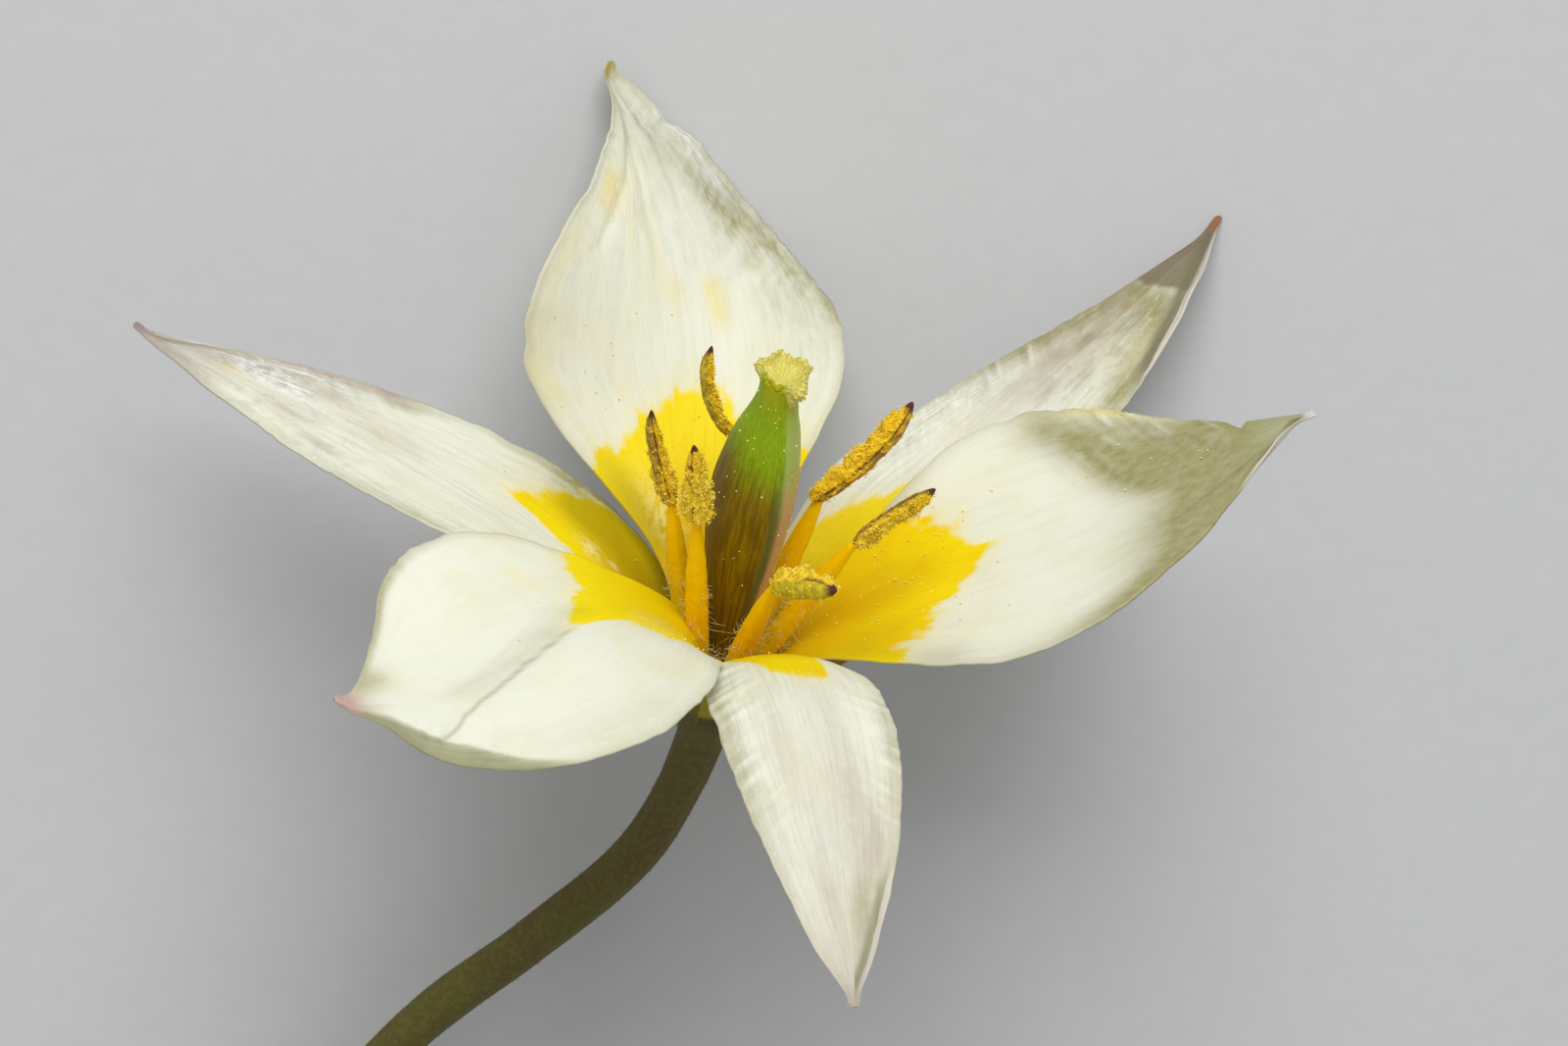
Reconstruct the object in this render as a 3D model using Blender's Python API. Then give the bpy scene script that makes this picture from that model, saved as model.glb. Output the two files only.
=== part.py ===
"""A species tulip flower, picked with a length of its stem and laid on its back.

The flower is drawn in its own frame first, in millimetres: the ovary stands on the origin and the
flower's axis is +Z. Every piece is then turned together into the lying pose, in which the tips of
two tepals and the cut end of the stem carry the flower, and is turned to metres.
"""

import math

import bmesh
import bpy
import numpy as np
from mathutils import Matrix

MM = 0.001

# The lying pose: a turn about the flower's own axis, a tilt away from upright, a heading on the table.
REST_SPIN = -83.26
REST_TILT = 61.03
REST_HEADING = 90.0

# Tepals: a whorl of three broad inner ones and, below and outside it, a whorl of three narrow outer
# ones. Each rises from the receptacle along its midrib. An angle with four values is read evenly
# from foot to tip: rise above the horizontal, sway of the heading, roll about the midrib, and how
# far each half curls up across its width. Pairs are the left and right halves, seen from the ovary.
INNER = {"foot_radius": 1.6, "foot_height": -0.5, "foot_half_width": 1.45}
OUTER = {"foot_radius": 2.0, "foot_height": -2.0, "foot_half_width": 1.35}
TEPALS = {
    "inner_tepal_right": INNER | {
        "heading": 6, "length": 25.0, "half_widths": (6.0, 6.3), "widest_at": 0.51, "tapers": (1.8, 1.65),
        "rise": (55, 39, 36, 41), "sway": (0, 1, 10, 19), "roll": (-5, 3, -1, -3),
        "curl_left": (28, 29, 14, 3), "curl_right": (41, 24, 15, 7),
    },
    "inner_tepal_back": INNER | {
        "heading": 120, "length": 23.5, "half_widths": (7.0, 6.5), "widest_at": 0.54, "tapers": (2.1, 1.25),
        "rise": (52, 36, 30, 33), "sway": (0, -11, 0, 14), "roll": (-4, -8, 15, 17),
        "curl_left": (30, 13, 16, 24), "curl_right": (45, 30, -10, -6),
    },
    "inner_tepal_left": INNER | {
        "heading": 237, "length": 26.5, "half_widths": (5.7, 6.8), "widest_at": 0.6, "tapers": (1.2, 1.45),
        "rise": (73, 36, 11, 25), "sway": (0, 6, 0, -29), "roll": (-1, -1, 0, 0),
        "curl_left": (31, 16, 6, -14), "curl_right": (35, 19, 5, -14),
    },
    "outer_tepal_right": OUTER | {
        "heading": 51, "length": 27.0, "half_widths": (2.8, 4.4), "widest_at": 0.33, "tapers": (1.35, 0.87),
        "rise": (45, 28, 20, 19), "sway": (0, -1, 2, 6), "roll": (0, 1, 0, -3),
        "curl_left": (39, 25, 14, 8), "curl_right": (39, 22, 13, 11),
    },
    "outer_tepal_left": OUTER | {
        "heading": 170, "length": 26.0, "half_widths": (4.25, 3.35), "widest_at": 0.35, "tapers": (1.1, 1.2),
        "rise": (58, 23, 10, 4), "sway": (0, 3, 1, -1), "roll": (-1, 6, 2, -3),
        "curl_left": (40, 29, 13, 6), "curl_right": (41, 16, 7, 10),
    },
    "outer_tepal_front": OUTER | {
        "foot_height": -1.75, "heading": 294, "length": 27.5, "half_widths": (3.15, 3.55),
        "widest_at": 0.55, "tapers": (1.13, 1.05),
        "rise": (82, 41, -5, -31), "sway": (0, -6, -6, -2), "roll": (2, 2, 4, 1),
        "curl_left": (9, -16, 0, 7), "curl_right": (11, -14, -3, 5),
    },
}
TEPAL_THICKNESS = 0.45
MARGIN_THICKNESS = 0.16
TEPAL_ROWS, TEPAL_COLUMNS = 20, 8

# Stamens: one before each tepal. Azimuth of the filament's foot, then the points where the filament
# meets the anther and where the anther ends, and the anther's width. A filament leaves its foot
# outwards, as far as FILAMENT_BOW, before it turns up.
STAMENS = (
    {"azimuth": 3, "joint": (4.0, 0.1, 7.2), "end": (6.7, 0.3, 10.9), "width": 0.75},
    {"azimuth": 48, "joint": (2.4, 2.3, 7.2), "end": (5.1, 4.5, 11.1), "width": 1.0},
    {"azimuth": 118, "joint": (-1.4, 2.5, 9.2), "end": (-3.0, 3.2, 13.0), "width": 0.75},
    {"azimuth": 172, "joint": (-3.1, 0.5, 6.8), "end": (-4.7, 0.8, 11.2), "width": 0.75},
    {"azimuth": 235, "joint": (-2.0, -1.8, 8.5), "end": (-2.7, -2.1, 12.6), "width": 1.0},
    {"azimuth": 289, "joint": (1.4, -3.2, 7.4), "end": (3.6, -5.6, 10.3), "width": 1.1},
)
FILAMENT_FOOT_RADIUS = 1.25
FILAMENT_FOOT_HEIGHT = -0.05
FILAMENT_BOW = 2.1
FILAMENT_RADII = (0.28, 0.42, 0.45, 0.42, 0.34, 0.16)
ANTHER_GAP = 0.3

# Ovary and stigma, one grown piece: heights and mean radii, then the depth of the ovary's three
# ridges and of the stigma's three lobes. A loft's section starts square to FIRST_SIDE, which sets
# one ridge at 40 degrees to the right of the front.
PISTIL_PROFILE = (
    (0.0, 0.66), (1.2, 0.78), (3.0, 1.02), (5.0, 1.32), (7.2, 1.57), (9.4, 1.64),
    (11.2, 1.44), (12.3, 1.24), (13.3, 0.98), (14.1, 0.82), (14.8, 0.8), (15.3, 0.98), (15.7, 0.74),
)
OVARY_RIDGE = 0.09
STIGMA_LOBE = 0.2
STIGMA_FROM = 14.6
FIRST_SIDE = (-0.64, -0.77, 0.0)

# Stem: its top swells into the receptacle that carries the tepals and the ovary.
STEM_ROUTE = (
    (0.0, 0.0, -0.35), (0.0, 0.0, -2.6), (-0.6, -0.4, -7.5), (-2.0, -1.0, -11.7), (-5.2, -2.1, -16.4),
    (-8.8, -3.5, -20.9), (-13.3, -6.2, -28.2), (-17.1, -8.8, -34.0),
)
RECEPTACLE_PROFILE = ((0.0, 0.95), (0.5, 1.1), (1.2, 1.15), (1.9, 1.4), (2.6, 1.35), (4.2, 0.98))
STEM_RADIUS = 0.9

COLOURS = {
    "tepal": ((0.86, 0.87, 0.76), 0.45),
    "filament": ((0.9, 0.5, 0.02), 0.5),
    "anther": ((0.55, 0.36, 0.06), 0.8),
    "pistil": ((0.28, 0.36, 0.03), 0.45),
    "stem": ((0.15, 0.13, 0.05), 0.6),
}


def unit(vectors):
    """The vectors at length one."""
    return vectors / np.maximum(np.linalg.norm(vectors, axis=-1, keepdims=True), 1e-12)


def evenly(values, t):
    """A smooth curve through evenly spaced values, read at t from 0 to 1."""
    values = np.asarray(values, float)
    slopes = np.gradient(values)
    place = np.clip(t, 0, 1) * (len(values) - 1)
    i = np.minimum(place.astype(int), len(values) - 2)
    u = place - i
    start = (2 * u**3 - 3 * u**2 + 1) * values[i] + (u**3 - 2 * u**2 + u) * slopes[i]
    end = (3 * u**2 - 2 * u**3) * values[i + 1] + (u**3 - u**2) * slopes[i + 1]
    return start + end


def midrib(tepal, t, steps=240):
    """The midrib's points at t, with its sideways and upward directions there."""
    fine = np.linspace(0, 1, steps + 1)
    rise = np.radians(evenly(tepal["rise"], fine))
    yaw = np.radians(tepal["heading"] + evenly(tepal["sway"], fine))
    roll = np.radians(evenly(tepal["roll"], fine))[:, None]
    along = np.stack([np.cos(rise) * np.cos(yaw), np.cos(rise) * np.sin(yaw), np.sin(rise)], -1)
    level = np.stack([-np.sin(yaw), np.cos(yaw), 0 * yaw], -1)
    upward = np.cross(along, level)
    sideways = level * np.cos(roll) + upward * np.sin(roll)
    upward = upward * np.cos(roll) - level * np.sin(roll)
    heading = math.radians(tepal["heading"])
    radius = tepal["foot_radius"]
    foot = np.array([radius * math.cos(heading), radius * math.sin(heading), tepal["foot_height"]])
    moves = (along[1:] + along[:-1]) / 2 * tepal["length"] / steps
    points = foot + np.vstack([np.zeros(3), np.cumsum(moves, axis=0)])
    return [np.stack([np.interp(t, fine, a[:, k]) for k in range(3)], -1) for a in (points, sideways, upward)]


def half_width(tepal, t, half):
    """The width of one half, 0 for left and 1 for right: a claw at the foot, a blade, and a point."""
    widest, taper = tepal["widest_at"], tepal["tapers"][half]
    blade = (t / widest) ** (taper * widest / (1 - widest)) * ((1 - t) / (1 - widest)) ** taper
    claw = tepal["foot_half_width"] * (1 - t) ** 3 * (1 - np.clip(blade, 0, 1))
    return tepal["half_widths"][half] * blade + claw


def tepal_surface(tepal, rows, columns):
    """The middle surface as a grid of points, from foot to tip and from right margin to left."""
    t = np.linspace(0, 1, rows + 1)
    points, sideways, upward = midrib(tepal, t)
    surface = np.zeros((rows + 1, columns + 1, 3))
    for column, s in enumerate(np.linspace(-1, 1, columns + 1)):
        half = 0 if s >= 0 else 1
        curl = np.radians(evenly(tepal["curl_left" if s >= 0 else "curl_right"], t))
        curl = np.where(np.abs(curl) < 1e-4, 1e-4, curl)
        width = half_width(tepal, t, half)
        across = math.copysign(1, s) * width * np.sin(curl * abs(s)) / curl
        lift = width * (1 - np.cos(curl * s)) / curl
        surface[:, column] = points + across[:, None] * sideways + lift[:, None] * upward
    return surface


def tepal_solid(tepal, rows, columns):
    """Points and faces of the closed blade: thick at the midrib and thin at the margins and the tip."""
    surface = tepal_surface(tepal, rows, columns)
    normals = unit(np.cross(np.gradient(surface, axis=0), np.gradient(surface, axis=1)))
    normals[-1] = normals[-2]
    s = np.linspace(-1, 1, columns + 1)
    thickness = MARGIN_THICKNESS + (TEPAL_THICKNESS - MARGIN_THICKNESS) * (1 - s**2)
    taper = np.clip((1 - np.linspace(0, 1, rows + 1)) * 6, 0.3, 1)
    offset = normals * (taper[:, None] * thickness / 2)[..., None]
    surface = surface[:-1]
    sheets = [side.reshape(-1, 3) for side in (surface + offset[:-1], surface - offset[:-1])]
    tip = tepal_surface(tepal, rows, columns)[-1, columns // 2]
    points = np.vstack(sheets + [tip])
    width = columns + 1
    bottom, point = len(sheets[0]), len(points) - 1
    faces = []
    for row in range(rows - 1):
        for column in range(columns):
            a = row * width + column
            faces.append((a, a + width, a + width + 1, a + 1))
            faces.append((bottom + a, bottom + a + 1, bottom + a + width + 1, bottom + a + width))
        for a, b in ((row * width, (row + 1) * width), ((row + 2) * width - 1, (row + 1) * width - 1)):
            faces.append((a, bottom + a, bottom + b, b))
    last = (rows - 1) * width
    for column in range(columns):
        faces.append((column, column + 1, bottom + column + 1, bottom + column))
        faces.append((last + column, point, last + column + 1))
        faces.append((bottom + last + column, bottom + last + column + 1, point))
    faces.append((last, bottom + last, point))
    faces.append((bottom + last + columns, last + columns, point))
    return points, faces


def smooth_route(points, per_span):
    """A smooth curve through the points, with per_span steps between two of them."""
    points = np.asarray(points, float)
    padded = np.vstack([2 * points[0] - points[1], points, 2 * points[-1] - points[-2]])
    route = []
    for a, b, c, d in zip(padded, padded[1:], padded[2:], padded[3:]):
        for u in np.arange(per_span) / per_span:
            bend = (2 * a - 5 * b + 4 * c - d) * u**2 + (-a + 3 * b - 3 * c + d) * u**3
            route.append((2 * b + (c - a) * u + bend) / 2)
    return np.array(route + [points[-1]])


def loft(route, radius_at, sides):
    """Points and faces of a closed tube along the route. radius_at(ring, angles) gives its radii."""
    angles = np.arange(sides) * 2 * math.pi / sides
    tangents = unit(np.gradient(route, axis=0))
    side = unit(np.cross(tangents[0], FIRST_SIDE))
    rings = []
    for ring, (centre, tangent) in enumerate(zip(route, tangents)):
        side = unit(side - tangent * (side @ tangent))
        other = np.cross(tangent, side)
        radii = radius_at(ring, angles)[:, None]
        rings.append(centre + radii * (np.cos(angles)[:, None] * side + np.sin(angles)[:, None] * other))
    points = np.vstack(rings + [route[0], route[-1]])
    start, end = len(points) - 2, len(points) - 1
    last = (len(route) - 1) * sides
    faces = []
    for k in range(sides):
        after = (k + 1) % sides
        for ring in range(0, last, sides):
            faces.append((ring + k, ring + after, ring + sides + after, ring + sides + k))
        faces.append((start, after, k))
        faces.append((end, last + k, last + after))
    return points, faces


def stem_solid():
    route = smooth_route(STEM_ROUTE, 4)
    travelled = np.concatenate([[0], np.cumsum(np.linalg.norm(np.diff(route, axis=0), axis=1))])
    profile = RECEPTACLE_PROFILE + ((7.0, STEM_RADIUS), (100.0, STEM_RADIUS))
    radii = np.interp(travelled, *zip(*profile))
    return loft(route, lambda ring, angles: np.full(len(angles), radii[ring]), 12)


def pistil_solid():
    """A rounded three-sided ovary that narrows to a neck under the flared three-lobed stigma."""
    heights, radii = (np.array(column) for column in zip(*PISTIL_PROFILE))
    route = np.stack([0 * heights, 0 * heights, heights], -1)

    def radius_at(ring, angles):
        depth = STIGMA_LOBE if heights[ring] > STIGMA_FROM else OVARY_RIDGE
        return radii[ring] * (1 + depth * np.cos(3 * angles))

    return loft(route, radius_at, 18)


def filament_solid(stamen):
    """A bowed, tapering thread that is thickest in its lower third."""
    azimuth = math.radians(stamen["azimuth"])
    out = np.array([math.cos(azimuth), math.sin(azimuth), 0.0])
    foot = FILAMENT_FOOT_RADIUS * out + (0, 0, FILAMENT_FOOT_HEIGHT)
    joint = np.array(stamen["joint"])
    knee = FILAMENT_BOW * out + (0, 0, joint[2] / 3)
    t = np.linspace(0, 1, 10)[:, None]
    route = (1 - t) ** 2 * foot + 2 * t * (1 - t) * knee + t**2 * joint
    radii = evenly(FILAMENT_RADII, t[:, 0])
    return loft(route, lambda ring, angles: np.full(len(angles), radii[ring]), 8)


def anther_solid(stamen):
    """Two pairs of pollen sacs side by side, rounded off at both ends."""
    joint, end = np.array(stamen["joint"]), np.array(stamen["end"])
    start = joint + unit(end - joint) * ANTHER_GAP
    t = np.linspace(0, 1, 9)
    route = start + t[:, None] * (end - start)
    swell = np.sqrt(np.maximum(1 - (2 * t - 1) ** 4, 0.06))

    def radius_at(ring, angles):
        lobes = 1 - 0.16 * np.cos(4 * angles)
        return stamen["width"] / 2 * swell[ring] * lobes

    return loft(route, radius_at, 12)


def material(name):
    colour, roughness = COLOURS[name]
    made = bpy.data.materials.new(name)
    made.use_nodes = True
    shader = made.node_tree.nodes["Principled BSDF"]
    shader.inputs["Base Color"].default_value = (*colour, 1)
    shader.inputs["Roughness"].default_value = roughness
    return made


def rest_rotation():
    """The turn from the upright flower to the flower lying on the table."""
    spin = Matrix.Rotation(math.radians(-REST_SPIN), 3, "Z")
    tilt = Matrix.Rotation(math.radians(-REST_TILT), 3, "Y")
    heading = Matrix.Rotation(math.radians(REST_HEADING), 3, "Z")
    return np.array(heading @ tilt @ spin)


def flower_solids():
    """Every piece's name, material name, points and faces, upright and in millimetres."""
    for name, tepal in TEPALS.items():
        yield name, "tepal", *tepal_solid(tepal, TEPAL_ROWS, TEPAL_COLUMNS)
    for number, stamen in enumerate(STAMENS, 1):
        yield f"filament_{number}", "filament", *filament_solid(stamen)
        yield f"anther_{number}", "anther", *anther_solid(stamen)
    yield "pistil", "pistil", *pistil_solid()
    yield "stem", "stem", *stem_solid()


def make_object(name, surface, points, faces):
    mesh = bpy.data.meshes.new(name)
    mesh.from_pydata([tuple(point) for point in points], [], faces)
    cleaned = bmesh.new()
    cleaned.from_mesh(mesh)
    bmesh.ops.recalc_face_normals(cleaned, faces=cleaned.faces)
    cleaned.to_mesh(mesh)
    cleaned.free()
    mesh.shade_smooth()
    mesh.materials.append(surface)
    made = bpy.data.objects.new(name, mesh)
    bpy.context.scene.collection.objects.link(made)
    return made


def main():
    for old in list(bpy.data.objects):
        bpy.data.objects.remove(old, do_unlink=True)
    surfaces = {name: material(name) for name in COLOURS}
    turn = rest_rotation()
    laid = [(name, surface, points @ turn.T * MM, faces) for name, surface, points, faces in flower_solids()]
    everything = np.vstack([points for _, _, points, _ in laid])
    low, high = everything.min(axis=0), everything.max(axis=0)
    origin = np.array([(low[0] + high[0]) / 2, (low[1] + high[1]) / 2, low[2]])
    for name, surface, points, faces in laid:
        make_object(name, surfaces[surface], points - origin, faces)


main()
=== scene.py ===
"""The looks of the species tulip flower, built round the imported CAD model.

Shapes are worked out in the flower's own frame, as in the CAD source: millimetres, the ovary
standing on the origin, +Z along the flower's axis. One turn lays the flower on the table, and one
offset, read from the CAD pistil's box, brings it into the frame. Each piece stands for one CAD
node, drawn again from the same values with its veins, pleats, hairs and pollen. Only the hairs in
the cup and the loose pollen stand for none.
"""

import math

import bmesh
import bpy
import numpy as np
from mathutils import Matrix, Vector


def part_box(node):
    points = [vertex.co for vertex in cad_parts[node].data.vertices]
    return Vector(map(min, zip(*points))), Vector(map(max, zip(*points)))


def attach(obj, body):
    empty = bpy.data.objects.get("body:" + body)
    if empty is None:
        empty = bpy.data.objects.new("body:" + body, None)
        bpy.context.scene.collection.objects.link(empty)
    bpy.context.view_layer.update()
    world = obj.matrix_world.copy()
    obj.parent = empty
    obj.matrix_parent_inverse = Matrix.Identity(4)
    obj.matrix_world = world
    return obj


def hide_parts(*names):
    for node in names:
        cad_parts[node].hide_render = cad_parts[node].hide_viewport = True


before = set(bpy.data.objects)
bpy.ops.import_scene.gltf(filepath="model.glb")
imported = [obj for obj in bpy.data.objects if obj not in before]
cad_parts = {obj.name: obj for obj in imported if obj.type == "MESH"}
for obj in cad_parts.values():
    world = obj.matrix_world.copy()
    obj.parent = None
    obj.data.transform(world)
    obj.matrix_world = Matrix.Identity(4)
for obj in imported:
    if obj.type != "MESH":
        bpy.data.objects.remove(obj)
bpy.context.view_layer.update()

MM = 0.001

# ---------------------------------------------------------------- the flower's values, as in the CAD

REST_SPIN = -83.26
REST_TILT = 61.03
REST_HEADING = 90.0

# Angles with four values are read evenly from foot to tip. Pairs are the left and right halves.
INNER = {"foot_radius": 1.6, "foot_height": -0.5, "foot_half_width": 1.45}
OUTER = {"foot_radius": 2.0, "foot_height": -2.0, "foot_half_width": 1.35}
TEPALS = {
    "inner_tepal_right": INNER | {
        "heading": 6, "length": 25.0, "half_widths": (6.0, 6.3), "widest_at": 0.51, "tapers": (1.8, 1.65),
        "rise": (55, 39, 36, 41), "sway": (0, 1, 10, 19), "roll": (-5, 3, -1, -3),
        "curl_left": (28, 29, 14, 3), "curl_right": (41, 24, 15, 7),
    },
    "inner_tepal_back": INNER | {
        "heading": 120, "length": 23.5, "half_widths": (7.0, 6.5), "widest_at": 0.54, "tapers": (2.1, 1.25),
        "rise": (52, 36, 30, 33), "sway": (0, -11, 0, 14), "roll": (-4, -8, 15, 17),
        "curl_left": (30, 13, 16, 24), "curl_right": (45, 30, -10, -6),
    },
    "inner_tepal_left": INNER | {
        "heading": 237, "length": 26.5, "half_widths": (5.7, 6.8), "widest_at": 0.6, "tapers": (1.2, 1.45),
        "rise": (73, 36, 11, 25), "sway": (0, 6, 0, -29), "roll": (-1, -1, 0, 0),
        "curl_left": (31, 16, 6, -14), "curl_right": (35, 19, 5, -14),
    },
    "outer_tepal_right": OUTER | {
        "heading": 51, "length": 27.0, "half_widths": (2.8, 4.4), "widest_at": 0.33, "tapers": (1.35, 0.87),
        "rise": (45, 28, 20, 19), "sway": (0, -1, 2, 6), "roll": (0, 1, 0, -3),
        "curl_left": (39, 25, 14, 8), "curl_right": (39, 22, 13, 11),
    },
    "outer_tepal_left": OUTER | {
        "heading": 170, "length": 26.0, "half_widths": (4.25, 3.35),
        "widest_at": 0.35, "tapers": (1.1, 1.2),
        "rise": (58, 23, 10, 4), "sway": (0, 3, 1, -1), "roll": (-1, 6, 2, -3),
        "curl_left": (40, 29, 13, 6), "curl_right": (41, 16, 7, 10),
    },
    "outer_tepal_front": OUTER | {
        "foot_height": -1.75, "heading": 294, "length": 27.5, "half_widths": (3.15, 3.55),
        "widest_at": 0.55, "tapers": (1.13, 1.05),
        "rise": (82, 41, -5, -31), "sway": (0, -6, -6, -2), "roll": (2, 2, 4, 1),
        "curl_left": (9, -16, 0, 7), "curl_right": (11, -14, -3, 5),
    },
}

STAMENS = (
    {"azimuth": 3, "joint": (4.0, 0.1, 7.2), "end": (6.7, 0.3, 10.9), "width": 0.75},
    {"azimuth": 48, "joint": (2.4, 2.3, 7.2), "end": (5.1, 4.5, 11.1), "width": 1.0},
    {"azimuth": 118, "joint": (-1.4, 2.5, 9.2), "end": (-3.0, 3.2, 13.0), "width": 0.75},
    {"azimuth": 172, "joint": (-3.1, 0.5, 6.8), "end": (-4.7, 0.8, 11.2), "width": 0.75},
    {"azimuth": 235, "joint": (-2.0, -1.8, 8.5), "end": (-2.7, -2.1, 12.6), "width": 1.0},
    {"azimuth": 289, "joint": (1.4, -3.2, 7.4), "end": (3.6, -5.6, 10.3), "width": 1.1},
)
FILAMENT_FOOT_RADIUS = 1.25
FILAMENT_FOOT_HEIGHT = -0.05
FILAMENT_BOW = 2.1
FILAMENT_RADII = (0.28, 0.42, 0.45, 0.42, 0.34, 0.16)

PISTIL_PROFILE = (
    (0.0, 0.66), (1.2, 0.78), (3.0, 1.02), (5.0, 1.32), (7.2, 1.57), (9.4, 1.64),
    (11.2, 1.44), (12.3, 1.24), (13.3, 0.98), (14.1, 0.82), (14.8, 0.8), (15.3, 0.98), (15.7, 0.74),
)
PISTIL_SIDES = 18
OVARY_RIDGE = 0.09
STIGMA_LOBE = 0.2
STIGMA_FROM = 14.6
FIRST_SIDE = (-0.64, -0.77, 0.0)
RIDGE_AZIMUTH = math.atan2(-0.64, 0.77)
OVARY_TURN = math.radians(-20)  # the ovary's ridges stand this far round from the stigma's crests

STEM_ROUTE = (
    (0.0, 0.0, -0.35), (0.0, 0.0, -2.6), (-0.6, -0.4, -7.5), (-2.0, -1.0, -11.7), (-5.2, -2.1, -16.4),
    (-8.8, -3.5, -20.9), (-13.3, -6.2, -28.2), (-17.1, -8.8, -34.0),
)
RECEPTACLE_PROFILE = ((0.0, 0.95), (0.5, 1.1), (1.2, 1.15), (1.9, 1.4), (2.6, 1.35), (4.2, 0.98))
STEM_RADIUS = 0.9

# ---------------------------------------------------------------- the view

# The flower's axis leans back from the view by VIEW_TILT, and to the right of the picture by VIEW_LEAN.
VIEW_TILT = 46.0
VIEW_LEAN = 12.4
CAMERA_PLACE = (2.42, 5.17, 278.0)  # right, up and back from the ovary's foot, as the camera sees it
CAMERA_LENS = 162.6
VIEW = Matrix.Rotation(math.radians(VIEW_TILT), 3, "X") @ Matrix.Rotation(math.radians(VIEW_LEAN), 3, "Z")


def seen(right, up, near):
    """A direction given as the camera sees it, in the flower's frame."""
    return np.array(VIEW @ Vector((right, up, near)))


# ---------------------------------------------------------------- what is added to the CAD's forms

MIDRIB_STEPS = 240
ROWS, TIP_ROWS, COLUMNS = 190, 36, 76
TIP_FROM, TIP_TO = 0.955, 0.9996  # between these reaches the rows lie closer together
BLADE_THICKNESS = 0.4
RIM_THICKNESS = 0.09
THINNING = 2.2  # the power by which a blade thins from its midrib to its margins
ROOT_DEPTH = 0.75  # mm: how far a blade's root reaches in towards the receptacle
ROOT_SHARES = (1.0, 0.66, 0.33)  # of that, for each row of the root
NARROW = 0.8  # mm: where half a blade is narrower than this, its relief fades
FOLD_SOFTNESS = 0.07  # the share of a half's width over which a fold turns
CREASE_WANDER, CREASE_SHADE_WIDTH = 0.05, 0.09  # mm: how far a crease strays, and how wide its painted shade is
GROOVE_DEPTH, GROOVE_WIDTH = 0.09, 0.5  # mm: the channel along the midrib
LEFT, RIGHT = 0, 1

# Reach runs from 0 at a blade's foot to 1 at its tip, and place across from -1 at its right margin
# to 1 at its left one.
# blotch: how far the yellow reaches up the blade, as (place across, reach).
# gold: how much of the yellow is deeper. deep: how fully it deepens towards the foot.
# veins: how strongly they show. wave, pleats: relief in mm. mottle: how broken the stains are.
# glassy: how strongly the clear patches of the upper half show. blunt: the tip's half width in mm.
# tip: its colour and how far that comes down in mm. hook: mm sideways and upwards, from a reach on.
# cap: reach, softness, colour and strength of the blade's tinted end. slant: how obliquely it begins.
# valley: the colour of the painted shade in a fold's band. margins: half, reach, spread before and
# after it, depth in mm (a bulge where negative).
# folds: half, the line as (reach, place across), turn, and the width in mm of its band of painted
# shade: inside the line, or, where negative, all that lies beyond it.
# pushes: reach and spread, the places across where it begins and is full, and the move in mm.
# creases: the line as (reach, place across), then depth, half width and strength of painted shade.
# wrinkles: half, from, to, height, spacing and lean. Their hollows get painted shade, their crests painted
# light.
# glints (smoother patches with a painted highlight), shade (painted shade), blush (mauve, in a few
# rows painted shade), tan: reach, place across, mm along and across, strength.
PLAIN = {"glints": (), "deep": 1.0, "slant": 0.0, "folds": (), "pushes": (), "blush": (), "tan": ()}
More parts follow.
